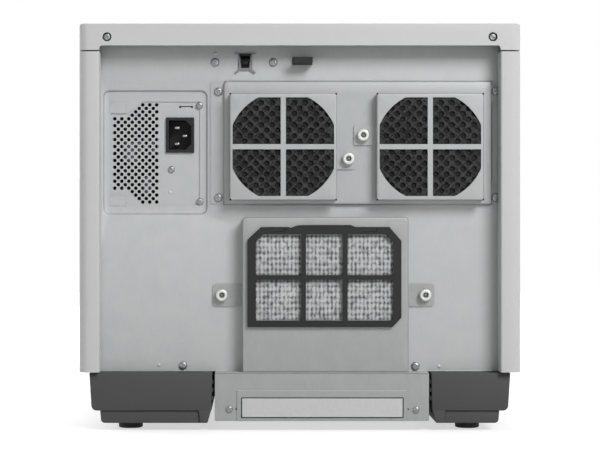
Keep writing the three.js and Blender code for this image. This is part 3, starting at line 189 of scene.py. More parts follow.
brushed = (flecked, 900, 2, (1, 0.2, 1))
finishes = {
    "casing": makeFinish("casing_paint", 200, 205, 0.6, (grained, 700, 5, 0.35), spread=(-0.04, 0.05),
                         relief=(0.12, 0.0001), extra={"Specular IOR Level": 0.3}),
    "zinc": makeZincSheet("zinc_sheet", (182, 184, 184), (174, 177, 177)),
    # the middle and lower copies are the same zinc sheet made darker: painted shade on the fan cover, filter
    # housing and bottom cover
    "zincShadedMid": makeZincSheet("zinc_sheet_shaded_middle", (170, 172, 172), (163, 166, 166)),
    "zincShadedLow": makeZincSheet("zinc_sheet_shaded_lower", (160, 163, 162), (153, 156, 155)),
    "spring": makeZincSheet("spring_steel", (128, 130, 131), (112, 114, 115)),
    "nickel": makePlating("nickel_plate", (222, 220, 214), (205, 203, 198), 0.24, 0.95, (-0.06, 0.08), 0.08,
                          brushed),
    "bright": makePlating("bright_nickel", (218, 218, 216), (206, 206, 204), 0.36, 0.4, (-0.05, 0.06), 0.04,
                          brushed),
    # zinc-plated screws in their own grey, made darker still as painted shade
    "screw": makePlating("screw_zinc_shaded", (156, 158, 158), (122, 125, 126), 0.36, 0.85, (-0.08, 0.1), 0.1,
                         (flecked, 700, 3)),
    "base": makeMoulding("base_moulding", (80, 80, 81), (74, 74, 75), 0.6, 1500, 0.2, 0.25),
    "black": makeMoulding("black_moulding", (29, 29, 30), (22, 22, 23), 0.5, 1300, 0.15, 0.25),
    "frame": makeMoulding("filter_frame_moulding", (33, 33, 34), (27, 27, 28), 0.5, 1300, 0.15, 0.25),
    "rail": makeMoulding("dark_moulding", (70, 72, 75), (62, 64, 67), 0.5, 1400, 0.15),
    "gloss": makeMoulding("panel_gloss", (30, 31, 33), (24, 25, 27), 0.22, 1500, 0.03),
    "plastic": makeMoulding("light_moulding", (206, 206, 204), (200, 200, 198), 0.5, 1400, 0.12),
    "button": makeMoulding("button_moulding", (216, 216, 214), (211, 211, 209), 0.3, 1600, 0.05),
    "stacker": makeMoulding("stacker_moulding", (122, 134, 152), (112, 124, 142), 0.42, 1300, 0.1),
    # a dark sheet seen through holes, standing in for the shade behind them: painted shade
    "shadeBack": makeMoulding("painted_shade_backing", (52, 52, 53), (30, 30, 31), 0.95, 700, 0.5, 0.1),
    "foam": makeFinish("fan_foam_fibre", 40, 72, 0.95, (felted,), (0.42, 0.6), relief=(0.9, 0.0006),
                       extra={"Specular IOR Level": 0.1}),
    "filter": makeFinish("filter_mat_fibre", (98, 99, 101), (204, 204, 205), 0.9, (woven,), (0.33, 0.62),
                         relief=(0.5, 0.0005), extra={"Specular IOR Level": 0.2}),
    "foot": makeFinish("foot_rubber", 50, 66, 0.8, (dusted,), (0.35, 0.7), relief=(0.25, 0.0001), base=58),
    "board": makeFinish("circuit_board", (52, 104, 66), (32, 78, 46), 0.45, (tracked,), (0.25, 0.4),
                        relief=(0.2, 0.0002), base=(38, 84, 52)),
    "label": makeFinish("blank_label", 200, 208, 0.5, (flecked, 900), (0.3, 0.7), base=204),
    "window": makeFinish("smoked_window", (52, 55, 59), (57, 60, 64), 0.08, (flecked, 14, 1), (0.3, 0.7),
                         relief=(0.02, 0.001), base=(92, 98, 104), extra={"Alpha": 0.42, "IOR": 1.49}),
    "green": makeLens("lamp_green", (96, 158, 92)),
    "amber": makeLens("lamp_amber", (206, 146, 70)),
    "blue": makeLens("lamp_blue", (92, 138, 196)),
}
finishes["window"].blend_method = "BLEND"
print("finishes ready")


# Mesh helpers

def only(parts, kind):
    return [part for part in parts if isinstance(part, kind)]


def shapeOf(maker, *parts):  # a new mesh with one or more blocks, rods, plates or turned shapes in it
    bm = bmesh.new()
    for part in parts:
        maker(bm, *part)
    return bm


def block(bm, low, high):
    made = bmesh.ops.create_cube(bm, size=1)["verts"]
    bmesh.ops.scale(bm, vec=Vector(high) - Vector(low), verts=made)
    bmesh.ops.translate(bm, vec=(Vector(high) + Vector(low)) / 2, verts=made)
    return made


def rod(bm, axis, start, radius, length, sides=24):
    place = Matrix.Translation(start) @ turns[axis] @ Matrix.Translation((0, 0, length / 2))
    return bmesh.ops.create_cone(bm, cap_ends=True, segments=sides, radius1=radius, radius2=radius,
                                 depth=length, matrix=place)["verts"]


def turned(bm, axis, start, profile, sides=32):  # profile is (radius, height) from one end to the other
    before = set(bm.verts)
    verts = [bm.verts.new((radius, 0, height)) for radius, height in profile]
    edges = [bm.edges.new(pair) for pair in zip(verts, verts[1:])]
    bmesh.ops.spin(bm, geom=verts + edges, cent=(0, 0, 0), axis=(0, 0, 1), angle=2 * math.pi,
                   steps=sides, use_merge=True)
    bmesh.ops.remove_doubles(bm, verts=[v for v in bm.verts if v not in before], dist=0.00001)
    made = [v for v in bm.verts if v not in before]
    bmesh.ops.transform(bm, matrix=Matrix.Translation(start) @ turns[axis], verts=made)
    return made


def corners(x0, z0, x1, z1):
    return [(x0, z0), (x1, z0), (x1, z1), (x0, z1)]


def rounded(points, radius=0, segments=4):  # an outline, with one radius or one for each corner
    radii = radius if isinstance(radius, list) else [radius] * len(points)
    return {"points": points, "round": radii, "segments": segments}


def panel(x0, z0, x1, z1, radius=0, segments=4):
    return rounded(corners(x0, z0, x1, z1), radius, segments)


def faceOf(low, high, margin=0, radius=0, segments=4):  # a box's outline from the rear, within a margin
    return panel(low.x + margin, low.z + margin, high.x - margin, high.z - margin, radius, segments)


def planOf(low, high, radius=0, segments=4):  # a box's outline from above
    return panel(low.x, low.y, high.x, high.y, radius, segments)


def circle(x, z, radius, sides=16):
    return {"centre": (x, z), "radius": radius, "sides": sides}


def bevelParts(bm, parts, width, segments, affect="EDGES", clamp=False):
    return bmesh.ops.bevel(bm, geom=list(set(parts)), offset=width, offset_type="OFFSET", affect=affect,
                           segments=segments, profile=0.5, material=-1, clamp_overlap=clamp)


def loopOf(bm, shape, y):  # the edges of one closed outline in the plane at y
    if "centre" in shape:
        x, z = shape["centre"]
        place = Matrix.Translation((x, y, z)) @ turns["Y"]
        ring = bmesh.ops.create_circle(bm, segments=shape["sides"], radius=shape["radius"], matrix=place)
        return list({edge for vert in ring["verts"] for edge in vert.link_edges})
    verts = [bm.verts.new((x, y, z)) for x, z in shape["points"]]
    face = bm.faces.new(verts)
    for vert, radius in zip(verts, shape["round"]):
        face = vert.link_faces[0]
        if radius > 0:
            made = bevelParts(bm, [vert], radius, shape["segments"], "VERTICES")
            face = made["verts"][0].link_faces[0]
    edges = list(face.edges)
    bmesh.ops.delete(bm, geom=[face], context="FACES_ONLY")
    return edges


def fillLoops(bm, *loops):
    edges = [edge for loop in loops for edge in loop]
    return bmesh.ops.triangle_fill(bm, use_beauty=True, use_dissolve=False, edges=edges)["geom"]


def plate(bm, y0, y1, outline, holes=()):  # a flat sheet or slab from y0 to y1, with holes through it
    before = set(bm.verts)
    faces = only(fillLoops(bm, *(loopOf(bm, shape, y0) for shape in (outline, *holes))), bmesh.types.BMFace)
    if not holes:
        faces = bmesh.ops.dissolve_faces(bm, faces=faces)["region"]
    grown = bmesh.ops.extrude_face_region(bm, geom=faces)["geom"]
    bmesh.ops.translate(bm, vec=(0, y1 - y0, 0), verts=only(grown, bmesh.types.BMVert))
    return [v for v in bm.verts if v not in before]


def prism(bm, axis, start, end, outline, holes=()):  # the outline is (y, z) along x, (x, y) along z
    made = plate(bm, start, end, outline, holes)
    bmesh.ops.transform(bm, matrix=swaps[axis], verts=made)
    return made


def inset(shape, amount):  # the same outline, smaller by this much all round
    xs, zs = zip(*shape["points"])
    middleX, middleZ = (min(xs) + max(xs)) / 2, (min(zs) + max(zs)) / 2
    points = [(x - math.copysign(amount, x - middleX), z - math.copysign(amount, z - middleZ))
              for x, z in shape["points"]]
    return rounded(points, [max(radius - amount, 0.15) for radius in shape["round"]], shape["segments"])


def pressed(bm, shape, steps):  # a sheet's wall in steps of (inset, y), and it gives the end loops
    loops = [loopOf(bm, inset(shape, amount), y) for amount, y in steps]
    for first, second in zip(loops, loops[1:]):
        bmesh.ops.bridge_loops(bm, edges=first + second)
    return loops[0], loops[-1]


def fold(y, rise, radius):  # steps of a wall that rises, with its two folds rounded
    down = -radius if rise < 0 else radius
    return [(0, y), (0.3 * radius, y + 0.12 * down), (0.75 * radius, y + 0.7 * down),
            (radius, y + rise - 0.7 * down), (1.4 * radius, y + rise - 0.12 * down), (1.8 * radius, y + rise)]


def thicken(bm, thickness, outward=(0, 1, 0)):  # gives a sheet its wall, on the side away from outward
    bmesh.ops.recalc_face_normals(bm, faces=bm.faces)
    if sum(face.normal.dot(outward) * face.calc_area() for face in bm.faces) < 0:
        bmesh.ops.reverse_faces(bm, faces=bm.faces)
    bmesh.ops.solidify(bm, geom=list(bm.faces), thickness=thickness)


def along(axis):  # picks edges that run along an axis
    number = "xyz".index(axis)
    return lambda edge: abs(edge.verts[0].co[number] - edge.verts[1].co[number]) > 1


def below(height):  # picks edges with an end under this height
    return lambda edge: min(vert.co.z for vert in edge.verts) < height


def roundEdges(bm, width, segments=2, verts=None, angle=30, pick=None):
    inside = set(bm.verts if verts is None else verts)
    edges = [edge for edge in bm.edges if inside.issuperset(edge.verts) and len(edge.link_faces) == 2
             and edge.calc_face_angle(0) >= math.radians(angle) and (pick is None or pick(edge))]
    bevelParts(bm, edges, width, segments, clamp=True)


def softBlock(bm, low, high, width, segments=2, pick=None):
    roundEdges(bm, width, segments, block(bm, low, high), pick=pick)


def meshOf(name, bm):
    mesh = bpy.data.meshes.new(name)
    bm.to_mesh(mesh)
    bm.free()
    return mesh


def addObject(name, data):
    made = bpy.data.objects.new(name, data)
    scene.collection.objects.link(made)
    return made


def carve(body, *cutters):  # cuts each shape out of the body, and gives the result
    for cutter in cutters:
        holders = []
        for shape in (body, cutter):
            bmesh.ops.recalc_face_normals(shape, faces=shape.faces)
            holders.append(addObject("carving", meshOf("carving", shape)))
        step = holders[0].modifiers.new("carve", "BOOLEAN")
        step.operation, step.solver, step.object = "DIFFERENCE", "EXACT", holders[1]
        bpy.context.view_layer.update()
        cut = holders[0].evaluated_get(bpy.context.evaluated_depsgraph_get())
        made = bpy.data.meshes.new_from_object(cut)
        body = bmesh.new()
        body.from_mesh(made)
        bpy.data.meshes.remove(made)
        for holder in holders:
            mesh = holder.data
            bpy.data.objects.remove(holder)
            bpy.data.meshes.remove(mesh)
    return body


def boxOf(name):
    return [corner * 1000 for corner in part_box(name)]


def soften(piece, width, segments=2, angle=40):
    soft = piece.modifiers.new("soft", "BEVEL")
    soft.width, soft.segments = width * 0.001, segments
    soft.limit_method, soft.angle_limit = "ANGLE", math.radians(angle)


def makePiece(name, bm, finish, slot, stands=None, body="chassis", angle=35, soft=None, fill=None):
    bmesh.ops.recalc_face_normals(bm, faces=bm.faces)
    bmesh.ops.scale(bm, vec=(0.001, 0.001, 0.001), verts=bm.verts)
    mesh = meshOf(name, bm)
    mesh.shade_smooth()
    mesh.set_sharp_from_angle(angle=math.radians(angle))
    mesh.materials.append(finishes[finish])
    piece = addObject(name, mesh)
    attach(piece, body)
    if stands:
        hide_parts(*stands)
    if soft:
        soften(piece, *soft)


def slab(name, y0, y1, outline, finish, slot, holes=(), **rest):  # a piece that is one plate
    makePiece(name, shapeOf(plate, (y0, y1, outline, holes)), finish, slot, **rest)


def lathe(name, axis, place, profile, sides, finish, slot, **rest):  # a piece that is one turned shape
    makePiece(name, shapeOf(turned, (axis, place, profile, sides)), finish, slot, **rest)


def paint(node, finish, edge):  # finish a CAD node, and soften its edges
    if not node.material_slots:
        node.data.materials.append(finish)
    for place in node.material_slots:
        place.material = finish
    if edge:
        node.modifiers.new("weld", "WELD").merge_threshold = 0.000001
        flat = node.modifiers.new("flat", "DECIMATE")
        flat.decimate_type, flat.angle_limit = "DISSOLVE", math.radians(1)
        soften(node, edge)


# CAD nodes: finish by the record's slots, and softer edges in millimetres

edgeWidths = {
    "top_cover": 1.2, "top_deck": 0, "base_rail_left": 1.6, "base_rail_right": 1.6, "psu_plate": 0,
    "rear_panel": 0.4, "bottom_cover": 0.4, "filter_frame": 0.6, "door_frame": 1.2, "front_column": 1.2,
    "front_frame": 0.8, "ink_cover": 1.0, "door_window": 0, "power_button": 0.6, "stacker_4": 1.0,
    "printer_body": 1.5, "arm": 1.0, "fan_rotor_1": 0, "fan_rotor_2": 0, "control_panel": 0.4,
    "ac_inlet": 0.4, "main_board": 0.2, "usb_clip": 0.2,
}
for part in frame["record"]["subparts"]:
    name = part["node"]
    # the bottom cover takes the darker lower copy of the zinc sheet: painted shade
    finish = "zincShadedLow" if name == "bottom_cover" else part["material_slot"]
    paint(nodes[name], finishes[finish], edgeWidths.get(name, 0.5))
print("nodes finished")


# Screws with domed heads

panScrew = {"big": (3.65, 2.1), "small": (2.95, 1.8), "lip": (3.25, 1.9),  # radius and height of each size
            "slot": 0.55, "reach": 2.45, "depth": 1.6}  # the recess of the big size


def screwHead(radius, height):  # a cross recess in it, its seat at z = 0
    head = shapeOf(turned, ("Z", (0, 0, 0), [
        (0, 0), (radius, 0), (radius, height * 0.35), (radius * 0.93, height * 0.66),
        (radius * 0.74, height * 0.88), (radius * 0.4, height), (0, height)], 28))
    half, reach, depth = (panScrew[key] * radius / panScrew["big"][0] for key in ("slot", "reach", "depth"))
    plus = [(half, half), (reach, half), (reach, -half), (half, -half), (half, -reach), (-half, -reach),
            (-half, -half), (-reach, -half), (-reach, half), (-half, half), (-half, reach), (half, reach)]
    cross = shapeOf(plate, (height - depth, height + 1, rounded(plus)))
    bmesh.ops.transform(cross, matrix=turns["Y"].inverted(), verts=cross.verts)
    return meshOf("screw_head", carve(head, cross))


def addScrew(bm, mesh, x, y, z, turn=0.0):  # a copy of a head, facing the rear
    before = set(bm.verts)
    bm.from_mesh(mesh)
    made = [v for v in bm.verts if v not in before]
    place = Matrix.Translation((x, y, z)) @ turns["Y"] @ Matrix.Rotation(turn, 4, "Z")
    bmesh.ops.transform(bm, matrix=place, verts=made)


bigHead, smallHead, lipHead = (screwHead(*panScrew[size]) for size in ("big", "small", "lip"))
screwPlaces = {
    "panel_screws": (bigHead, [
        (72.8, 208.5, 316.6, 0.3), (22.6, 208.5, 316.6, 0.9), (100.5, 208.5, 54.9, 0.5),
        (-100.1, 208.5, 54.2, 0.2), (69.9, 209.7, 291.1, 0.7), (69.9, 209.7, 199.7, 0.1),
        (-169.3, 209.7, 291.9, 0.4), (-169.3, 209.7, 200, 1.1)]),
    "supply_screws": (smallHead, [(86.2, 206, 279.5, 0.2), (85.8, 206, 196.3, 0.8),
                                  (110.6, 204.8, 224.1, 0.5)]),
    "plate_screws": (smallHead, [(60.2, 227.2, 18.8, 0.6), (-99.4, 227.2, 18.1, 0.3)]),
    "lip_screws": (lipHead, [(164.5, 229.4, 336.6, 0.4), (-164.5, 229.4, 336.6, 0.9)]),
}
for name, (head, places) in screwPlaces.items():
    screws = bmesh.new()
    for place in places:
        addScrew(screws, head, *place)
    makePiece(name, screws, "screw", "nickel")


# Thumbscrews: a fluted head on a shoulder, with a driver recess at the bottom of its socket

thumbHead = {"radius": 5.4, "height": 6.5, "socket": 2.25, "depth": 3.2, "grips": 24, "flute": 0.94,
             "shoulder": 1.8}


def makeThumbscrew(number):
    low, high = boxOf(f"thumbscrew_{number}")
    x, z = (low.x + high.x) / 2, (low.z + high.z) / 2
    radius, height, socket, depth, grips, flute, shoulder = thumbHead.values()
    seat, top = high.y - height, high.y
    head = bmesh.new()
    made = turned(head, "Y", (x, seat, z), [
        (0, 0), (radius * 0.84, 0), (radius * 0.97, 0.5), (radius * 0.97, height - 3), (radius, height - 2.6),
        (radius, height - 1.5), (radius * 0.96, height - 0.85), (radius * 0.88, height - 0.35),
        (radius * 0.76, height - 0.05), (radius * 0.66, height), (socket + 0.55, height - 0.12),
        (socket + 0.1, height - 0.5), (socket, height - 0.9), (socket, height - depth),
        (0, height - depth)], grips * 2)
    for vert in made:  # grip flutes round the lower part
        arm = Vector((vert.co.x - x, vert.co.z - z))
        step = round(math.atan2(arm.y, arm.x) / math.pi * grips)
        if arm.length > radius * 0.95 and step % 2 and vert.co.y < top - 2.8:
            vert.co.x, vert.co.z = x + arm.x * flute, z + arm.y * flute
    rod(head, "Y", (x, low.y, z), shoulder, seat - low.y + 0.5, 16)
    body = f"screw_{number}"
    makePiece(f"thumb_head_{number}", head, "bright", "nickel", [f"thumbscrew_{number}"], body, 25)
    # the socket's floor in darker spring steel: painted shade in the recess
    lathe(f"thumb_driver_shaded_{number}", "Y", (x, top - depth, z), [
        (0, 0.02), (socket - 0.02, 0.02), (socket - 0.02, 1.5), (socket - 0.5, 1.7), (1.25, 0.9), (0.9, 1.6),
        (0, 1.9)], 20, "spring", "nickel", body=body, angle=25)


for number in (1, 2, 3, 4):
    makeThumbscrew(number)
print("screws fitted")


# Fan foams: a fibre pad with staggered round holes, on a dark backing that is painted shade seen through the
# holes

fanCentres = {1: (14.15, 243.15), 2: (-111.55, 243.15)}
foamPad = {"pitch": 9.4, "hole": 2.5, "margin": 1.6, "depth": 1.8, "corner": 1.5, "fill": 0.9}


def makeFoamPad(number, centreX):
    low, high = boxOf(f"fan_foam_{number}")
    centreZ = (low.z + high.z) / 2
    pitch, hole, margin, depth, corner, fill = foamPad.values()
    edge = hole + margin
    holes = []
    for offset in (0, pitch / 2):
        for column in range(-6, 7):
            for row in range(-6, 7):
                x, z = centreX + column * pitch + offset, centreZ + row * pitch + offset
                if low.x + edge < x < high.x - edge and low.z + edge < z < high.z - edge:
                    holes.append(circle(x, z, hole, 10))
    outline, split = faceOf(low, high, 0, corner, 2), high.y - depth
    slab(f"fan_pad_{number}", split, high.y, outline, "foam", "foam", holes, fill=fill,
         stands=[f"fan_foam_{number}"])
    # dark backing behind the holes: painted shade
    slab(f"fan_pad_shade_backing_{number}", low.y, split + 0.05, outline, "shadeBack", "foam", fill=fill)


for number, centre in fanCentres.items():
    makeFoamPad(number, centre[0])


# Filter mat: it swells a little into each window of its frame

filterMat = {"columns": 100, "rows": 64, "swell": 1.1, "loft": 0.25, "seat": 0.2, "fade": 3, "fill": 0.8}


def makeFilterPad():
    low, high = boxOf("filter_pad")
    frameLow, frameHigh = boxOf("filter_frame")
    sizeX, sizeZ = high.x - low.x, high.z - low.z
    pad, columns, rows = bmesh.new(), filterMat["columns"], filterMat["rows"]
    front = bmesh.ops.create_grid(pad, x_segments=columns, y_segments=rows, size=0.5)["verts"]
    bmesh.ops.scale(pad, vec=(sizeX, sizeZ, 1), verts=front)
    place = Matrix.Translation((low.x + sizeX / 2, high.y, low.z + sizeZ / 2)) @ turns["Y"]
    bmesh.ops.transform(pad, matrix=place, verts=front)
    back = only(bmesh.ops.extrude_face_region(pad, geom=list(pad.faces))["geom"], bmesh.types.BMVert)
    bmesh.ops.translate(pad, vec=(0, low.y - high.y, 0), verts=back)
    third, half = (frameHigh.x - frameLow.x) / 3, (frameHigh.z - frameLow.z) / 2
    for vert in front:
        x, z = vert.co.x, vert.co.z
        u = abs(math.sin(math.pi * (x - frameLow.x) / third))
        v = abs(math.sin(math.pi * (z - frameLow.z) / half))
        fade = min(1, min(x - low.x, high.x - x, z - low.z, high.z - z) / filterMat["fade"])
        swell = filterMat["swell"] * (u * v) ** 0.35
        loft = filterMat["loft"] * math.sin(x * 2.1 + 3 * math.sin(z * 0.7)) * math.sin(z * 1.7)
        vert.co.y += (swell + loft) * fade - filterMat["seat"]
    makePiece("filter_mat", pad, "filter", "filter", ["filter_pad"], angle=60, fill=filterMat["fill"])


makeFilterPad()
print("pads fitted")


# Mains pins

mainsPins = {"width": 4, "thick": 2, "length": 14, "floor": 186.8, "tip": 0.6,
             "places": [(105.9, 260.4), (105.9, 246.5), (99.1, 253.4)]}


def makeMainsPins():
    pins = bmesh.new()
    wide, thick = mainsPins["width"] / 2, mainsPins["thick"] / 2
    floor, end = mainsPins["floor"], mainsPins["floor"] + mainsPins["length"]
    for x, z in mainsPins["places"]:
        made = block(pins, (x - wide, floor, z - thick), (x + wide, end, z + thick))
        tips = [e for vert in made for e in vert.link_edges if all(v.co.y > floor + 1 for v in e.verts)]
        bevelParts(pins, tips, mainsPins["tip"], 2)
    makePiece("mains_pins", pins, "screw", "nickel")


makeMainsPins()


# Label plate, with a thin line round its edge

labelPlate = {"outline": (-88.6, 11.3, 50.2, 29), "seat": 228.2, "thick": 0.35, "line": 0.9,
              "lineHigh": 0.04}


def makeLabelPlate():
    x0, z0, x1, z1 = labelPlate["outline"]
    seat, wide = labelPlate["seat"], labelPlate["line"]
    face = seat + labelPlate["thick"]
    slab("label_plate", seat, face, panel(x0, z0, x1, z1, 1.2, 3), "label", "casing")
    inner = panel(x0 + wide, z0 + wide, x1 - wide, z1 - wide, 0.5, 3)
    slab("label_border", face, face + labelPlate["lineHigh"], panel(x0, z0, x1, z1, 0.8, 3), "black", "black",
         [inner])


makeLabelPlate()


# Feet

rubberFoot = {"radius": 10.5, "chamfer": 1.2, "dimple": 3.2, "hollow": 1.4}


def makeFoot(name):
    low, high = boxOf(name)
    radius, chamfer, dimple, hollow = rubberFoot.values()
    place = ((low.x + high.x) / 2, (low.y + high.y) / 2, low.z)
    lathe(name.replace("foot", "rubber_foot"), "Z", place, [
        (0, hollow), (dimple, hollow), (dimple + 0.4, 0.3), (dimple + 0.8, 0), (radius - chamfer - 0.4, 0),
        (radius - chamfer * 0.4, chamfer * 0.35), (radius, chamfer), (radius, high.z - low.z),
        (0, high.z - low.z)], 40, "foot", "foot", stands=[name])


for name in ("foot_front_left", "foot_front_right", "foot_rear_left", "foot_rear_right"):
    makeFoot(name)
print("details fitted")


# Top cover: a folded pan with round corners, open at the bottom, its rear lip cut away

topShell = {"corner": 8, "edge": 1.4, "wall": 2, "lipHeight": 18.7, "lipSpan": 171, "lipCorner": 2.2,
            "screwX": 164.5, "screwDrop": 11.4, "screwHole": 3.9, "shadeCupRadius": 5.4, "seatDepth": 1.4}


def makeTopShell():
    low, high = boxOf("top_cover")
    wall, corner, edge = topShell["wall"], topShell["corner"], topShell["edge"]
    outside = shapeOf(block, (low, high))
    roundEdges(outside, corner, 7, pick=along("z"))
    roundEdges(outside, edge, 3, pick=lambda e: min(v.co.z for v in e.verts) > high.z - 0.01)
    inside = shapeOf(block, ((low.x + wall, low.y + wall, low.z - 5),
                             (high.x - wall, high.y - wall, high.z - wall)))
    roundEdges(inside, corner - wall, 7, pick=along("z"))
    span, lip = topShell["lipSpan"], high.z - topShell["lipHeight"]
    opening = shapeOf(block, ((-span, high.y - 6, low.z - 3), (span, high.y + 3, lip)))
    upper = [e for e in opening.edges if along("y")(e) and e.verts[0].co.z > lip - 0.1]
    bevelParts(opening, upper, topShell["lipCorner"], 3)
    screwX, screwZ = topShell["screwX"], high.z - topShell["screwDrop"]
    holes = shapeOf(rod, *(("Y", (side * screwX, high.y - 4, screwZ), topShell["screwHole"], 6, 28)
                           for side in (-1, 1)))
    shell = carve(outside, inside, opening, holes)
    makePiece("casing_top", shell, "casing", "casing", ["top_cover"])
    # black cups behind the screw holes, seen as a dark ring round each head: painted shade
    cups = shapeOf(rod, *(("Y", (side * screwX, high.y - 4.2, screwZ), topShell["shadeCupRadius"],
                           topShell["seatDepth"], 24) for side in (-1, 1)))
    makePiece("lip_screw_shade_rings", cups, "black", "black")


makeTopShell()


# Side covers: one sheet each, folded round the rear corner to a return and a hem

sideSheet = {"outer": 188.5, "wall": 2, "corner": 8, "return": 17.5, "hem": 22.6, "foldRadius": 1.8,
             "soft": 0.4}
jointStrip = {"outer": 186.4, "front": -226, "rear": 230.4, "inner": 172.5, "low": 322.4, "high": 327.4,
              "corner": 6, "wall": 0.8}


def foldedSheet(side, path, bottom, top, folds, wall):  # folds are (corner of the path, radius, segments)
    sheet = bmesh.new()
    verts = [sheet.verts.new((side * x, y, bottom)) for x, y in path]
    edges = [sheet.edges.new(pair) for pair in zip(verts, verts[1:])]
    raised = only(bmesh.ops.extrude_edge_only(sheet, edges=edges)["geom"], bmesh.types.BMVert)
    bmesh.ops.translate(sheet, vec=(0, 0, top - bottom), verts=raised)
    for corner, radius, segments in folds:
        x, y = path[corner]
        bent = [e for e in sheet.edges
                if all(math.dist((side * v.co.x, v.co.y), (x, y)) < 0.01 for v in e.verts)]
        bevelParts(sheet, bent, radius, segments)
    thicken(sheet, wall, (side, 0, 0))
    return sheet


def makeSideSheet(name, node, side):
    low, high = boxOf(node)
    outer, inner, rear = sideSheet["outer"], sideSheet["outer"] - sideSheet["return"], high.y
    path = [(outer, low.y), (outer, rear), (inner, rear), (inner, rear - sideSheet["hem"])]
    folds = [(1, sideSheet["corner"], 8), (2, sideSheet["foldRadius"], 4)]
    sheet = foldedSheet(side, path, low.z, high.z, folds, sideSheet["wall"])
    makePiece(name, sheet, "casing", "casing", [node], soft=(sideSheet["soft"], 2, 50))


def makeJointStrip(name, side):  # a strip behind the joint of the top and side covers
    outer, front, rear, inner, low, high, corner, wall = jointStrip.values()
    path = [(outer, front), (outer, rear), (inner, rear)]
    strip = foldedSheet(side, path, low, high, [(1, corner, 6)], wall)
    makePiece(name, strip, "rail", "casing")


makeJointStrip("joint_strip_left", -1)
makeJointStrip("joint_strip_right", 1)
makeSideSheet("casing_side_left", "side_cover_left", -1)
makeSideSheet("casing_side_right", "side_cover_right", 1)
print("casing made")


# Rear panel: a sheet with a dish pressed in round the power supply

rearSheet = {"thick": 1.2, "ledge": (-109.8, 49.8, 72.2, 227.9, 50.3), "dish": (78.9, 184.8, 169.9, 292.9),
             "dishRadius": 6, "dishDepth": -2.5, "dishFold": 1.1, "fanHole": 40, "padEdge": 3, "usbGap": -0.6,
             "supply": [(86, 193.4), (136.1, 193.4), (148.6, 203.6), (162.8, 203.6), (162.8, 272.6),
                        (148.6, 272.6), (136.1, 282.8), (86, 282.8)]}


def makeRearSheet():
    low, high = boxOf("rear_panel")
    face, depth = high.y, rearSheet["dishDepth"]
    back = face - rearSheet["thick"]
    sheet = bmesh.new()
    dish = panel(*rearSheet["dish"], rearSheet["dishRadius"], 6)
    outer, floor = pressed(sheet, dish, fold(face, depth, rearSheet["dishFold"]))
    shapes = [faceOf(low, high), faceOf(*boxOf("filter_pad"), rearSheet["padEdge"]),
              faceOf(*boxOf("usb_socket"), rearSheet["usbGap"])]
    shapes += [circle(*centre, rearSheet["fanHole"], 40) for centre in fanCentres.values()]
    edge, *holes = [loopOf(sheet, shape, face) for shape in shapes]
    fillLoops(sheet, edge, outer, *holes)
    fillLoops(sheet, floor, loopOf(sheet, rounded(rearSheet["supply"], 0.8, 2), face + depth))
    thicken(sheet, rearSheet["thick"])
    left, bottom, right, reach, top = rearSheet["ledge"]  # the lower edge folds out over the bottom cover
    block(sheet, (left, back, bottom), (right, reach, top))
    plate(sheet, back, face - 0.1, panel(left, bottom, right, low.z + 0.8))
    makePiece("rear_sheet", sheet, "zinc", "zinc", ["rear_panel"], angle=50)


makeRearSheet()


# Fan cover: a raised plate with a flange, and a square box over each fan

seats = {"panel": 208.5, "sheet": 208.6, "flange": 209.7}  # the rear panel's face, and planes just off it
fanShell = {"thick": 1.2, "box": 91.5, "openWidth": 86.8, "openHeight": 84.4, "openRadius": 47.2, "bar": 4.4,
            "plate": (-166.6, 192.9, 66.2, 301), "plateFace": 213.5, "plateFold": 1.2, "boxFace": 226.5,
            "flange": 76.7, "ear": -172.6, "earHeight": 16, "corner": 1.8, "tabThick": 1.5, "relief": 0.85,
            "tabs": [((-66.2, 244.9, -46.8, 261.9), [0, 1.2, 1.2, 0]),
                     ((-49.6, 224, -31.2, 242.3), [5.2, 0, 0, 2.4])]}
fourSides = [(-1, -1), (-1, 1), (1, -1), (1, 1)]


def quadrants(bm, centreX, centreZ, y):  # four openings round a cross: a disc cut by planes
    loops, centre = [], Vector((centreX, y, centreZ))
    wide, tall, radius, bar = (fanShell[key] for key in ("openWidth", "openHeight", "openRadius", "bar"))
    for sideX, sideZ in fourSides:
        verts = bmesh.ops.create_circle(bm, cap_ends=True, segments=72, radius=radius,
                                        matrix=Matrix.Translation(centre) @ turns["Y"])["verts"]
        parts = {*verts, *(part for vert in verts for part in (*vert.link_edges, *vert.link_faces))}
        for normal, size in (((sideX, 0, 0), wide), ((0, 0, sideZ), tall), ((-sideX, 0, 0), -bar),
                             ((0, 0, -sideZ), -bar)):
            cut = bmesh.ops.bisect_plane(bm, geom=list(parts), dist=0.0001, clear_outer=True, plane_no=normal,
                                         plane_co=centre + Vector(normal) * size / 2)
            parts = {part for part in cut["geom"] if part.is_valid}
        faces = only(parts, bmesh.types.BMFace)
        loops.append(list(faces[0].edges))
        bmesh.ops.delete(bm, geom=faces, context="FACES_ONLY")
    return loops


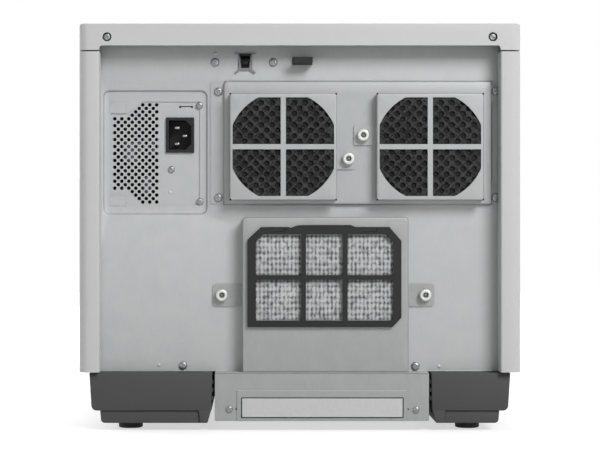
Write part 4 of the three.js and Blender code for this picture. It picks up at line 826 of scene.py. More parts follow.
def makeFanShell():
    x0, z0, x1, z1 = fanShell["plate"]
    face, top, back = fanShell["plateFace"], fanShell["boxFace"], seats["sheet"]
    cut, half, ear = fanShell["corner"], fanShell["box"] / 2, fanShell["earHeight"]
    sheet = bmesh.new()
    outline = rounded([(x0, z0), (x1, z0), (x1, z1 - cut), (x1 - cut, z1), (x0, z1)], [0.8] * 5, 3)
    plateEdge = pressed(sheet, outline, fold(back, face - back, fanShell["plateFold"]))[1]
    rise = [(-0.5, face), (-0.1, face + 0.5), (0, face + 1.2), (0, top - 1.1), (0.25, top - 0.45),
            (0.8, top - 0.08), (1.3, top)]
    boxes = []
    for x, z in fanCentres.values():
        lower, upper = pressed(sheet, panel(x - half, z - half, x + half, z + half, 0.5, 2), rise)
        boxes.append(lower)
        fillLoops(sheet, upper, *quadrants(sheet, x, z, top))
    fillLoops(sheet, plateEdge, *boxes)
    thicken(sheet, fanShell["thick"])
    for flat in ((x1 - 1, z0 + 1.5, fanShell["flange"], z1 - 1.5),
                 (fanShell["ear"], z0 + 3, x0 + 1, z0 + 3 + ear),
                 (fanShell["ear"], z1 - 3 - ear, x0 + 1, z1 - 3)):
        plate(sheet, seats["panel"], seats["flange"], panel(*flat, 1.2, 3))
    for tab, radii in fanShell["tabs"]:
        plate(sheet, face, face + fanShell["tabThick"], panel(*tab, radii, 5))
    # the fan cover takes the darker middle copy of the zinc sheet: painted shade
    makePiece("fan_shell", sheet, "zincShadedMid", "zinc", ["fan_cover"], angle=50)
    # black discs at the boxes' corners: painted shade of the bend relief holes
    reach = half - 0.5
    places = [(x + sideX * reach, top - 1.5, z + sideZ * reach)
              for x, z in fanCentres.values() for sideX, sideZ in fourSides]
    reliefs = shapeOf(rod, *(("Y", place, fanShell["relief"], 1.45, 12) for place in places))
    makePiece("bend_relief_shade", reliefs, "black", "black")


makeFanShell()
print("rear sheets made")


# Filter housing: a folded box under the fans, with a tab each side

filterShell = {"thick": 1.2, "corner": 2, "left": 23.6, "right": 25.8, "drop": 0.7, "lip": 6, "sill": 2.5,
               "tab": (105.9, 125.7), "tabRadius": 3.2, "hem": (224.4, 225.4, 48.2, 54)}


def makeFilterShell():
    low, high = boxOf("filter_housing")
    frameLow, frameHigh = boxOf("filter_frame")
    face, lip, cut, radius = high.y, filterShell["lip"], filterShell["corner"], filterShell["tabRadius"]
    x0, x1 = low.x + filterShell["left"], high.x - filterShell["right"]
    z0, z1 = low.z - filterShell["drop"], high.z
    sheet = bmesh.new()
    outline = rounded([(x0, z0), (x1, z0), (x1, z1 - cut), (x1 - cut, z1), (x0 + cut, z1),
                       (x0, z1 - cut)], 0.4, 2)
    rise = [(0, seats["sheet"]), (0, face - 1.4), (0.3, face - 0.5), (0.8, face - 0.1), (1.4, face)]
    edge = pressed(sheet, outline, rise)[1]
    hole = panel(frameLow.x + lip, frameLow.z + lip, frameHigh.x - lip,
                 frameHigh.z - lip - filterShell["sill"])
    fillLoops(sheet, edge, loopOf(sheet, hole, face))
    thicken(sheet, filterShell["thick"])
    bottom, top = filterShell["tab"]
    for left, right, radii in ((x1 - 1, high.x, [0, radius, radius, 0]),
                               (low.x, x0 + 1, [radius, 0, 0, radius])):
        plate(sheet, seats["panel"], seats["flange"], panel(left, bottom, right, top, radii, 4))
    inner, outer, bottom, top = filterShell["hem"]
    plate(sheet, inner, outer, panel(x0 + 1.5, bottom, x1 - 1.5, top))
    # the filter housing takes the darker lower copy of the zinc sheet: painted shade
    makePiece("filter_shell", sheet, "zincShadedLow", "zinc", ["filter_housing"], angle=50)


makeFilterShell()


# Filter frame: moulded bars round six windows, with two shallow hollows for a finger

filterBars = {
    "outline": [(-78.8, 89), (-86.6, 97.1), (-86.6, 162.6), (-76.4, 174.5), (-47.6, 174.5), (-43, 176.2),
                (-0.3, 176.2), (3.6, 175.5), (7.6, 173.7), (9.8, 174.5), (33.3, 174.5), (44.8, 163.6),
                (44.8, 89)],
    "columns": [(37.6, -1.2), (-5.2, -36.6), (-40.6, -79.9)], "rows": [(94.6, 129.5), (133.3, 168.2)],
    "edge": 0.7, "hollow": (6.6, 1.6, 170.6), "hollows": (-59.6, 18.8)}


def makeFilterBars():
    low, high = boxOf("filter_frame")
    windows = []
    for column, (right, left) in enumerate(filterBars["columns"]):
        for row, (bottom, top) in enumerate(filterBars["rows"]):
            points, radius, segments = corners(left, bottom, right, top), 0.5, 2
            if (column, row) == (0, 1):
                points[2:3] = [(right, top - 6), (right - 6.4, top)]
            if (column, row) == (2, 1):
                points[3:] = [(left + 6.8, top), (left, top - 6.6)]
            if (column, row) == (2, 0):
                radius, segments = [4, 0.5, 0.5, 0.5], 4
            windows.append(rounded(points, radius, segments))
    bars = shapeOf(plate, (low.y, high.y, rounded(filterBars["outline"], 0.6, 2), windows))
    reach, deep, floor = filterBars["hollow"]
    hollows = bmesh.new()
    for middle in filterBars["hollows"]:
        softBlock(hollows, (middle - reach, high.y - deep, floor), (middle + reach, high.y + 2, 178),
                  1.4, 3, lambda e: not along("z")(e))
    makePiece("filter_bars", carve(bars, hollows), "frame", "black", ["filter_frame"], "filter_door",
              soft=(filterBars["edge"], 3, 30))


makeFilterBars()
print("filter housing made")


# Base rails: moulded troughs with draft, and a plinth set back under them

railShape = {"outer": 180.1, "draft": 2.0, "corner": 4, "step": 17.9, "endDraft": 0.9, "plinthSetback": 3,
             "edge": 0.8, "ribs": (26.5, 33.5, 40.5), "ribWidth": 0.9, "ribDepth": 4, "ribHeight": 3.2}


def makeRail(name, node, side):
    low, high = boxOf(node)
    inner, outer, draft = min(abs(low.x), abs(high.x)), railShape["outer"], railShape["draft"]
    step, foot, top, setback = railShape["step"], low.z, high.z, railShape["plinthSetback"]

    def trough(front, rear, points, radii, segments):
        plate(body, front, rear, rounded([(side * x, z) for x, z in points], radii, segments))

    body = bmesh.new()
    trough(low.y, high.y, [(inner + 0.6, step - 0.5), (outer - draft, step - 0.5), (outer, top),
                           (inner, top)], [0, railShape["corner"], 0, 0], 5)
    for vert in body.verts:  # the ends draw in towards the bottom, as the sides do
        vert.co.y -= math.copysign((top - vert.co.z) / (top - step) * railShape["endDraft"], vert.co.y)
    trough(low.y + setback, high.y - setback,
           [(inner + 4, foot), (outer - 10, foot), (outer - 9, step + 1), (inner + 2, step + 1)],
           [1, 3, 0, 0], 4)
    trough(low.y + 1, high.y - 1, [(inner + 4, foot + 0.3), (inner + 10.5, foot + 0.3),
                                   (inner + 12, step + 1), (inner + 0.6, step + 1)], [1, 0.5, 0, 0], 4)
    roundEdges(body, railShape["edge"], 3, angle=40)
    wide, deep, tall = railShape["ribWidth"], railShape["ribDepth"], railShape["ribHeight"]
    for height in railShape["ribs"]:  # notched ribs on the wall beside the bottom cover
        for y in (-218, high.y - 6):
            block(body, (side * inner - wide, y, height), (side * inner + wide, y + deep, height + tall))
    makePiece(name, body, "base", "base", [node], angle=50)


makeRail("rail_left", "base_rail_left", -1)
makeRail("rail_right", "base_rail_right", 1)


# USB clip: a bent spring steel frame round the socket, with the socket's tongue

usbClip = {"thick": 0.9, "wall": 1.7, "shoulder": 311, "bar": (309.5, 311.6), "tongue": (314.5, 318.6),
           "lip": (322, 323.9)}


def makeUsbClip():
    low, high = boxOf("usb_clip")
    x0, x1 = (corner.x for corner in boxOf("usb_socket"))
    y0, y1, foot = low.y, high.y, low.z
    wall, shoulder, bar = usbClip["wall"], usbClip["shoulder"], usbClip["bar"]
    clip = shapeOf(plate, (y0, y1, panel(low.x, high.z - usbClip["thick"], high.x, high.z, 0.3, 2)))
    for side, edge, tip in ((1, x1, high.x), (-1, x0, low.x)):
        leg = [(edge + side * 0.3, high.z - 1), (edge + side * 0.3, shoulder), (tip, foot + 0.9),
               (tip - side * 1.1, foot), (edge - side * wall, shoulder - 1),
               (edge - side * wall, shoulder + 0.8), (edge - side * 0.6, high.z - 3)]
        plate(clip, y0, y1, rounded(leg, 0.25, 2))
    plate(clip, y0, y1 - 0.6, panel(x0 - 0.2, bar[0], x1 + 0.2, bar[1], 0.3, 2))
    makePiece("usb_spring_clip", clip, "spring", "nickel", ["usb_clip"])
    (bottom, top), (lipBottom, lipTop) = usbClip["tongue"], usbClip["lip"]
    tongue = bmesh.new()
    softBlock(tongue, (x0 + 2.6, y1 - 12, bottom), (x1 - 2.6, y1 - 3, top), 0.4)
    block(tongue, (x0 + 0.1, y1 - 2, lipBottom), (x1 - 0.1, y1 + 0.3, lipTop))
    makePiece("usb_tongue", tongue, "black", "black")


makeUsbClip()


# Power supply's plate: round vents in staggered rows, with a dark sheet of painted shade, a coil and a heat
# sink behind them

supplyPlate = {"hole": 1.62, "startX": 159.6, "startZ": 196.1, "pitchX": 6.04, "pitchZ": 6, "columns": 13,
               "rows": 15, "inletEdge": 0.7, "shadeSheet": ((86, 170, 192), (163, 171.5, 284)),
               "coil": ("Z", (147, 190, 232), 7, 16, 20), "capacitor": ("Z", (132, 192, 204), 4.5, 14, 20),
               "fin": ((138, 186, 238), (139.4, 198, 252)), "fins": 5, "finPitch": 4}


def makeSupplyPlate():
    low, high = boxOf("psu_plate")
    holes = [faceOf(*boxOf("ac_inlet"), supplyPlate["inletEdge"])]
    for column in range(supplyPlate["columns"]):
        shifted = column % 2
        missing = max(0, min(2, math.ceil((7 - column) / 2)))
        for row in range(missing, supplyPlate["rows"] - shifted - missing):
            x = supplyPlate["startX"] - column * supplyPlate["pitchX"] / 2
            z = supplyPlate["startZ"] + (row + shifted / 2) * supplyPlate["pitchZ"]
            holes.append(circle(x, z, supplyPlate["hole"], 12))
    slab("supply_plate", low.y, high.y, faceOf(low, high), "zinc", "zinc", holes, stands=["psu_plate"],
         angle=50)
    # a dark sheet behind the supply's parts: painted shade seen through the vents
    makePiece("supply_shade_sheet", shapeOf(block, supplyPlate["shadeSheet"]), "shadeBack", "black")
    parts = shapeOf(rod, supplyPlate["coil"], supplyPlate["capacitor"])
    for step in range(supplyPlate["fins"]):
        shift = Vector((step * supplyPlate["finPitch"], 0, 0))
        block(parts, *(Vector(corner) - shift for corner in supplyPlate["fin"]))
    makePiece("supply_parts", parts, "spring", "zinc")


makeSupplyPlate()


# Small marks of the rear sheets: dimples, embossed outlines, and slots drawn in black as painted shade

smallMarks = {
    "dimples": [(72.4, 208.4, 324.6), (112, 204.7, 204.4), (121.3, 208.4, 55.2), (-120.5, 208.4, 54)],
    "dimple": 1.7,
    "outlines": [(205.9, (149.2, 272.8, 163.6, 283.2), 0.6, (149.7, 273.3, 163.1, 282.7), 0.4),
                 (205.9, (149.2, 192.8, 163.6, 202.6), 0.6, (149.7, 193.3, 163.1, 202.1), 0.4),
                 (204.7, (92.2, 279.2, 103.6, 282), 0.5, (92.6, 279.6, 103.2, 281.7), 0.3)],
    "slots": [(204.8, (92.6, 278.3, 103.2, 279), 0.3, 2), (227.2, (52.6, 18.2, 55.2, 19.6), 0.6, 3),
              (227.2, (-93.4, 18.2, -91.9, 19.6), 0.6, 3)],
    "slotEnds": [(92.8, 204.8, 278.3), (103, 204.8, 278.3)]}


def makeSmallMarks():
    radius = smallMarks["dimple"]
    profile = [(0, 0), (radius, 0), (radius, 0.15), (radius * 0.7, 0.45), (0, 0.6)]
    dimples = shapeOf(turned, *(("Y", place, profile, 16) for place in smallMarks["dimples"]))
    makePiece("sheet_dimples", dimples, "zinc", "zinc")
    lines = shapeOf(plate, *((y, y + 0.5, panel(*outer, wide, 2), [panel(*inner, narrow, 2)])
                             for y, outer, wide, inner, narrow in smallMarks["outlines"]))
    makePiece("sheet_outlines", lines, "zinc", "zinc")
    # black plates where the slots are: painted shade of the openings
    slots = shapeOf(plate, *((y, y + 0.1, panel(*slot, *ends)) for y, slot, *ends in smallMarks["slots"]))
    for place in smallMarks["slotEnds"]:
        rod(slots, "Y", place, 0.95, 0.14, 14)
    makePiece("lanced_slot_shade", slots, "black", "black")


makeSmallMarks()
print("small marks made")


# Door: a moulded shell with a window, a grip, a gasket and screws that hold the pane

doorShell = {"skin": 3, "rim": 14, "rimCorner": 3, "hinge": 8, "window": 30, "windowRadius": 6,
             "grip": (12, 7, 46), "gripCorner": 2.5, "gasket": 2.4, "pin": 2.3, "pinDepth": 6.6, "soft": 0.9,
             "screwGap": 10}


def makeDoor():
    low, high = boxOf("door_frame")
    hinge, rim, skin, gap = doorShell["hinge"], doorShell["rim"], doorShell["skin"], doorShell["window"]
    hingeX, face, middle = low.x + hinge, low.y, (low.z + high.z) / 2
    gripWidth, gripDepth, gripHeight = doorShell["grip"]
    gripFoot, gripTop = middle - gripHeight / 2, middle + gripHeight / 2
    shell = shapeOf(prism, ("Z", low.z, high.z, planOf(low, high, [hinge, 1.5, 0.6, hinge - 0.1], 8)))
    hollow = shapeOf(block, ((hingeX + rim, face + skin, low.z + rim),
                             (high.x - rim, high.y + 1, high.z - rim)))
    roundEdges(hollow, doorShell["rimCorner"], 4, pick=along("y"))
    x0, z0, x1, z1 = hingeX + gap, low.z + gap, high.x - gap, high.z - gap
    window = panel(x0, z0, x1, z1, doorShell["windowRadius"], 6)
    cutter = shapeOf(plate, (face - 1, face + skin + 1, window))
    softBlock(cutter, (high.x - gripWidth, face - 1, gripFoot), (high.x + 1, face + gripDepth, gripTop),
              doorShell["gripCorner"], 4, lambda e: max(v.co.x for v in e.verts) < high.x)
    for start in (low.z - 1, high.z - doorShell["pinDepth"]):
        rod(cutter, "Z", (hingeX, face + hinge, start), doorShell["pin"], doorShell["pinDepth"] + 1, 20)
    makePiece("door_shell", carve(shell, hollow, cutter), "plastic", "plastic", ["door_frame"], "door", 30,
              (doorShell["soft"], 3))
    slab("window_gasket", face + 0.5, face + skin + 0.05, window, "black", "black",
         [inset(window, doorShell["gasket"])], body="door", soft=(0.5,))
    screws, out = bmesh.new(), doorShell["screwGap"]
    middleX, middleZ = (x0 + x1) / 2, (z0 + z1) / 2
    for x in (x0 - out, middleX, x1 + out):
        for z in (z0 - out, middleZ, z1 + out):
            if x != middleX or z != middleZ:
                addScrew(screws, smallHead, x, face + skin, z, x * 0.1)
    makePiece("pane_screws", screws, "screw", "nickel", body="door")
    # a dark floor in the grip's hollow: painted shade
    floor = panel(high.x - gripWidth + 0.3, gripFoot + 0.3, high.x - 0.4, gripTop - 0.3, 2.2, 4)
    slab("grip_shade_floor", face + gripDepth - 0.3, face + gripDepth + 0.1, floor, "rail", "black", body="door")


makeDoor()


# Front column: a moulded shell with the openings of the control panel and the ink cover

columnShell = {"wall": 3, "corner": 8, "soft": 0.7, "control": (10, 13, 76), "ink": (6, 10, 21.2),
               "bezel": 1.3}


def makeColumn():
    low, high = boxOf("front_column")
    wall, corner, bezel, face = columnShell["wall"], columnShell["corner"], columnShell["bezel"], low.y
    shell = shapeOf(prism, ("Z", low.z, high.z, planOf(low, high, [1.2, corner, 0, 0], 8)))
    plan = panel(low.x + wall, face + wall, high.x - wall, high.y + 1, [0, corner - wall, 0, 0], 6)
    hollow = shapeOf(prism, ("Z", low.z + wall, high.z - wall, plan))
    side, drop, tall = columnShell["control"]
    foot = high.z - drop - tall
    control = panel(low.x + side, foot, high.x - side, high.z - drop, 4, 6)
    side, lift, gap = columnShell["ink"]
    ink = panel(low.x + side, low.z + lift, high.x - side, foot - gap, 1.2, 3)
    openings = shapeOf(plate, *((face - 1, face + wall + 1, shape) for shape in (control, ink)))
    makePiece("column_shell", carve(shell, hollow, openings), "plastic", "plastic", ["front_column"],
              angle=30, soft=(columnShell["soft"], 3))
    slab("panel_bezel", face + bezel, face + wall + 0.05, control, "spring", "black",
         [inset(control, bezel)], soft=(0.3,))


makeColumn()


# Control panel: a dark face with two caps, rows of unlit lamps, and raised lines that part the rows

panelFace = {"gap": 0.3, "flange": 1.6, "lampHigh": 1.8, "lampWide": 5.5, "proud": 0.35,
             "lines": (279.9, 266.9), "lineEnd": 8, "lineHigh": 0.5}
panelCaps = {"power_button": ("button_power", "green"), "ink_button": ("button_ink", "amber")}
panelLamps = {"panel_lamps_ink": ("amber", 273.4, [-32.5, -19.5, -6.5, 6.5, 19.5, 32.5]),
              "panel_lamps_stack": ("blue", 243.2, [-25.5, -8.5, 8.5, 25.5]),
              "panel_lamps_state": ("green", 290.8, [-27, 27])}


def makeCap(node, body, lamp):  # gives the hole that the cap needs in the panel
    low, high = boxOf(node)
    x, z = (low.x + high.x) / 2, (low.z + high.z) / 2
    flange, tall = (high.x - low.x) / 2, high.y - low.y
    radius = flange - panelFace["flange"]
    lathe(node.replace("button", "cap"), "Y", (x, high.y, z), [
        (0, 0), (flange, 0), (flange, -1.4), (radius, -1.5), (radius, 1 - tall), (radius - 0.2, 0.45 - tall),
        (radius - 0.7, 0.08 - tall), (radius - 1.3, -tall), (radius * 0.6, 0.3 - tall),
        (0, 0.5 - tall)], 48, "button", "button", stands=[node], body=body)
    lathe(node.replace("button", "ring"), "Y", (x, low.y + 0.2, z), [
        (radius * 0.34, 0.5), (radius * 0.34, 0.05), (radius * 0.4, 0), (radius * 0.46, 0.05),
        (radius * 0.46, 0.5)], 32, lamp, "button", body=body)
    return circle(x, z, radius + panelFace["gap"], 48)


def makeControls():
    low, high = boxOf("control_panel")
    middle, face = (low.x + high.x) / 2, low.y
    holes = [makeCap(node, *values) for node, values in panelCaps.items()]
    slab("panel_face", face, high.y, faceOf(low, high, 0, 3, 4), "gloss", "black", holes,
         stands=["control_panel"], soft=(0.3,))
    wide, tall = panelFace["lampWide"] / 2, panelFace["lampHigh"] / 2
    for name, (tone, z, places) in panelLamps.items():
        lamps = bmesh.new()
        for x in (middle + place for place in places):
            plate(lamps, face - panelFace["proud"], face + 0.5,
                  panel(x - wide, z - tall, x + wide, z + tall, 0.85, 4))
        makePiece(name, lamps, tone, "button", soft=(0.15, 2, 60))
    end, half = panelFace["lineEnd"], panelFace["lineHigh"] / 2
    lines = shapeOf(plate, *((face - 0.15, face + 0.2, panel(low.x + end, z - half, high.x - end, z + half))
                             for z in panelFace["lines"]))
    makePiece("panel_lines", lines, "rail", "black")


makeControls()


# Ink cover, with a scoop for a finger and ribs inside, and the cartridges behind it

inkCover = {"scoop": (30, 9, 3.2), "scoopCorner": 2.6, "wall": 4, "skin": 2.6, "soft": 0.6, "rib": (15, 17),
            "latch": 20}
inkHolder = {"seat": 70, "short": 9, "gap": 2.4, "corner": 1.4, "tabCorner": 1.2}
inkTones = {"cyan": (72, 158, 196), "pale_cyan": (150, 200, 214), "pale_magenta": (216, 160, 186),
            "magenta": (188, 72, 122), "yellow": (222, 196, 74), "black": (48, 48, 50)}


def makeInkCover():
    low, high = boxOf("ink_cover")
    middle, wall = (low.x + high.x) / 2, inkCover["wall"]
    profile = panel(low.y, low.z, high.y, high.z, [3.95, 3.95, 0.5, 1], 8)
    cover = shapeOf(prism, ("X", low.x, high.x, profile))
    wide, tall, deep = inkCover["scoop"]
    scoop = bmesh.new()
    softBlock(scoop, (middle - wide / 2, low.y - 2, high.z - tall),
              (middle + wide / 2, low.y + deep, high.z + 3), inkCover["scoopCorner"], 4, below(high.z - 1))
    near, far = inkCover["rib"]
    for x0, x1 in ((low.x + wall, middle - far), (middle - near, middle + near),
                   (middle + far, high.x - wall)):
        block(scoop, (x0, low.y + inkCover["skin"], low.z + 10), (x1, high.y + 1, high.z - tall - 5))
    makePiece("ink_lid", carve(cover, scoop), "plastic", "plastic", ["ink_cover"], "ink_door", 30,
              (inkCover["soft"],))
    latch, inward = bmesh.new(), inkCover["latch"]
    for x in (low.x + inward, high.x - inward):
        block(latch, (x - 4, high.y - 0.5, high.z - 8), (x + 4, high.y + 3, high.z - 5.5))
        block(latch, (x - 4, high.y + 1.5, high.z - 8), (x + 4, high.y + 3, high.z - 3.5))
    makePiece("lid_latches", latch, "black", "black", body="ink_door", soft=(0.4,))


def makeCartridges():
    low, high = boxOf("cartridge_set")
    front, rear, top, seat = low.y, high.y - inkHolder["short"], high.z, low.z + inkHolder["seat"]
    gap = inkHolder["gap"]
    pitch = (high.x - low.x + gap) / len(inkTones)
    hollows = bmesh.new()
    for step in range(len(inkTones)):
        left = low.x + step * pitch + 1.6
        softBlock(hollows, (left, front - 1, low.z + 8), (left + pitch - 5.6, front + 3, seat - 9),
                  1.2, 3, along("y"))
    holder = carve(shapeOf(block, (low, (high.x, high.y, seat))), hollows)
    makePiece("ink_holder", holder, "rail", "black", ["cartridge_set"], soft=(0.6,))
    for step, (name, tone) in enumerate(inkTones.items()):
        left = low.x + step * pitch
        right = left + pitch - gap
        case = bmesh.new()
        softBlock(case, (left, front, seat - 1), (right, rear, top), inkHolder["corner"], 3)
        grip = shapeOf(block, ((left - 1, front - 1, top - 11), (right + 1, front + 2.2, top - 6.5)))
        makePiece(f"cartridge_{name}", carve(case, grip), "black", "black", soft=(0.35,))
        face = panel(left + 1.8, seat + 12, right - 1.8, top - 16, inkHolder["tabCorner"], 3)
        dark = tuple(part * 0.93 for part in tone)
        finishes[f"ink_{name}"] = makeMoulding(f"ink_tab_{name}", tone, dark, 0.45, 1300, 0.05)
        slab(f"cartridge_tab_{name}", front - 0.35, front + 0.1, face, f"ink_{name}", "black")


makeInkCover()
makeCartridges()
print("front made")


# Drawer: a front with a finger scoop, and a round well for a few discs

drawerShape = {"frontThick": 4, "frontLift": 2, "scoop": (27, 9, 2.6), "boxTop": 21, "boxHalf": 66,
               "wellRadius": 61, "wellDepth": 12, "finger": (45, 70, 14), "soft": 0.8}


def makeDrawer():
    low, high = boxOf("stacker_4")
    middle, boxTop = (low.x + high.x) / 2, low.z + drawerShape["boxTop"]
    back, foot = low.y + drawerShape["frontThick"], low.z + drawerShape["frontLift"]
    front = shapeOf(plate, (low.y, back, panel(low.x, foot, high.x, high.z, 2, 4)))
    reach, tall, deep = drawerShape["scoop"]
    scoop = bmesh.new()
    softBlock(scoop, (middle - reach, low.y - 2, high.z - tall), (middle + reach, low.y + deep, high.z + 3),
              2.2, 4, below(high.z - 1))
    makePiece("drawer_front", carve(front, scoop), "plastic", "plastic", ["stacker_4"], "drawer",
              soft=(drawerShape["soft"], 3))
    half, radius, depth = drawerShape["boxHalf"], drawerShape["wellRadius"], drawerShape["wellDepth"]
    tub = bmesh.new()
    softBlock(tub, (middle - half, back - 0.5, low.z), (middle + half, high.y, boxTop), 4, 5,
              lambda e: along("z")(e) and e.verts[0].co.y > back)
    centreY, floor = (back + high.y) / 2, boxTop - depth
    well = shapeOf(turned, ("Z", (middle, centreY, floor), [
        (0, 0), (radius - 2.5, 0), (radius - 0.7, 0.7), (radius, 2.5), (radius, depth + 1),
        (0, depth + 1)], 64))
    near, far, wide = drawerShape["finger"]
    fingers = bmesh.new()
    for x0, x1 in ((middle - far, middle - near), (middle + near, middle + far)):
        softBlock(fingers, (x0, centreY - wide, floor + 1.5), (x1, centreY + wide, boxTop + 2),
                  4, 4, along("z"))
    makePiece("drawer_tub", carve(tub, well, fingers), "plastic", "plastic", body="drawer", soft=(0.6,))


makeDrawer()


# Stackers: a plate with a hub for the discs' holes and three posts round them

stackerShape = {"inner": 61, "post": 5, "width": 9, "spoke": 30, "spokeHigh": 6, "turret": (-74.208, -75.5),
                "places": {1: ((-124, -137), (90, 180, -70)), 2: ((-124, -14), (70, 180, -90)),
                           3: ((0.7, -50), (90, 180, -90))}}


def makeStacker(number, place, angles):
    low, high = boxOf(f"stacker_{number}")
    (x, y), (turretX, turretY) = place, stackerShape["turret"]
    tall, inner, outer = high.z - low.z, stackerShape["inner"], stackerShape["inner"] + stackerShape["post"]
    half = stackerShape["width"] / 2
    shape = shapeOf(turned, ("Z", (0, 0, 0), [
        (0, 0), (56.2, 0), (57, 0.8), (57, 5), (56, 6), (50, 6), (49, 5.3), (25, 5.3), (24, 6), (11, 6),
        (8.6, 6.6), (6.8, 7.6), (6.8, 12.4), (6.2, 13.3), (4.6, 13.9), (0, 14)], 64))
    for angle in angles:
        made = block(shape, (inner, -half, 0), (outer, half, tall))
        made += block(shape, (stackerShape["spoke"], -half, 0), (outer, half, stackerShape["spokeHigh"]))
        made += block(shape, (outer - 0.4, -1.2, 0), (outer - 0.05, 1.2, tall - 4))
        turn = Matrix.Rotation(math.radians(angle), 3, "Z")
        bmesh.ops.rotate(shape, cent=(0, 0, 0), matrix=turn, verts=made)
    turn = Matrix.Rotation(math.atan2(turretY - y, turretX - x), 4, "Z")
    bmesh.ops.transform(shape, matrix=Matrix.Translation((x, y, low.z)) @ turn, verts=shape.verts)
    makePiece(f"disc_stacker_{number}", shape, "stacker", "stacker", [f"stacker_{number}"], angle=30,
              soft=(0.9, 3, 60))


for number, values in stackerShape["places"].items():
    makeStacker(number, *values)


# Drives and printer: trays with seats for both sizes of disc, and moulded fronts

trayShape = {"seat": 60.3, "small": 40.3, "hole": 19, "slot": 41, "seatDepth": 1.5, "smallDepth": 2.6,
             "margin": 5, "disc": 60}
trays = {"tray_plate_1": ("drive_1_tray", "tray_1"), "tray_plate_2": ("drive_2_tray", "tray_2"),
         "tray_plate_print": ("printer_tray", "tray_print")}


def makeTray(name, node, body):
    low, high = boxOf(node)
    seat, small, hole, slot, seatDepth, smallDepth, margin, disc = trayShape.values()
    x, y = (low.x + high.x) / 2, low.y + margin + disc
    base = shapeOf(prism, ("Z", low.z, high.z, planOf(low, high, [2.5, 2.5, 1, 1], 5)))
    wells = shapeOf(turned, ("Z", (x, y, high.z), [
        (0, -smallDepth), (small - 0.6, -smallDepth), (small, -seatDepth), (seat - 0.6, -seatDepth),
        (seat, -seatDepth + 0.7), (seat, 1), (0, 1)], 72))
    slotPlan = panel(x - hole, y, x + hole, y + slot, [0, 0, 4, 4], 5)
    through = shapeOf(prism, ("Z", low.z - 1, high.z + 1, slotPlan))
    spindle = shapeOf(rod, ("Z", (x, y, low.z - 1), hole, high.z - low.z + 2, 48))
    makePiece(name, carve(base, wells, through, spindle), "rail", "black", [node], body, soft=(0.3,))


driveFront = {"thick": 1.6, "edge": 0.5, "mouth": (61.9, 19.8, 11.7), "key": (46, 7, 56, 11),
              "lamp": (38, 8.2, 41.5, 9.8)}


def makeDriveFront(number):
    low, high = boxOf(f"drive_{number}_body")
    middle, face, back = (low.x + high.x) / 2, low.y, low.y - 0.5
    proud, (reach, bottom, top) = face - driveFront["thick"], driveFront["mouth"]
    mouth = panel(middle - reach, high.z - bottom, middle + reach, high.z - top, 1, 3)
    slab(f"drive_front_{number}", proud, face, faceOf(low, high, driveFront["edge"], 1, 3), "black", "black",
         [mouth], soft=(0.4,))
    x0, z0, x1, z1 = driveFront["key"]
    key = panel(middle + x0, low.z + z0, middle + x1, low.z + z1, 0.8, 3)
    slab(f"drive_key_{number}", proud - 0.8, back, key, "rail", "black", soft=(0.25,))
    x0, z0, x1, z1 = driveFront["lamp"]
    lamp = panel(middle + x0, low.z + z0, middle + x1, low.z + z1, 0.5, 3)
    slab(f"drive_lamp_{number}", proud - 0.2, back, lamp, "green", "button")


printerFront = {"thick": 1.8, "edge": 0.4, "mouth": (61.9, 10.7, 18.8), "visor": (60, 27, 10), "slots": 9,
                "slotPitch": 12, "slotHalf": 3.6, "slotHigh": (6.4, 4.8)}


def makePrinterFront():
    low, high = boxOf("printer_body")
    middle, face = (low.x + high.x) / 2, low.y
    reach, bottom, top = printerFront["mouth"]
    mouth = panel(middle - reach, low.z + bottom, middle + reach, low.z + top, 1, 3)
    outline = faceOf(low, high, printerFront["edge"], 3, 4)
    slab("printer_front", face - printerFront["thick"], face, outline, "plastic", "plastic", [mouth],
         soft=(0.7, 3))
    reach, bottom, top = printerFront["visor"]
    visor = panel(middle - reach, low.z + bottom, middle + reach, high.z - top, 3, 4)
    slab("printer_visor", face - 2.4, face - 1.7, visor, "gloss", "black", soft=(0.4,))
    half, pitch, (bottom, top) = printerFront["slotHalf"], printerFront["slotPitch"], printerFront["slotHigh"]
    # black blocks where the slots are: painted shade of the openings
    slots = bmesh.new()
    for step in range(printerFront["slots"]):
        x = middle + (step - (printerFront["slots"] - 1) / 2) * pitch
        block(slots, (x - half, face - 1.95, high.z - bottom), (x + half, face - 1.7, high.z - top))
    makePiece("printer_slot_shade", slots, "black", "black")


for name, values in trays.items():
    makeTray(name, *values)
for number in (1, 2):
    makeDriveFront(number)
makePrinterFront()
print("drives and stackers made")


# Turret: post, arm with its collar, boss and ribs, and the gripper under it

armShape = {"collar": 17, "bore": 12.3, "half": 7, "thick": 10, "reach": 79.1, "tip": 10.5,
            "towards": (74.908, 25.5), "slots": 3, "slotTurn": 0.4}


def makePost():
    x, y = stackerShape["turret"]
    low, high = boxOf("turret_post")
    tall = high.z - low.z
    lathe("post_tube", "Z", (x, y, low.z), [
        (0, 0), (11.6, 0), (12, 0.4), (12, tall - 0.4), (11.7, tall), (10.3, tall), (10, tall - 0.4), (10, 3),
        (0, 3)], 48, "nickel", "nickel", stands=["turret_post"], body="turret")
    lathe("post_socket", "Z", (x, y, low.z - 0.25), [
        (12.15, 0), (17.5, 0), (18, 0.5), (18, 2.6), (17, 3.6), (14.2, 4.2), (13.6, 5), (13.6, 8.4), (13, 9),
        (12.15, 9), (12.15, 0)], 48, "black", "black")


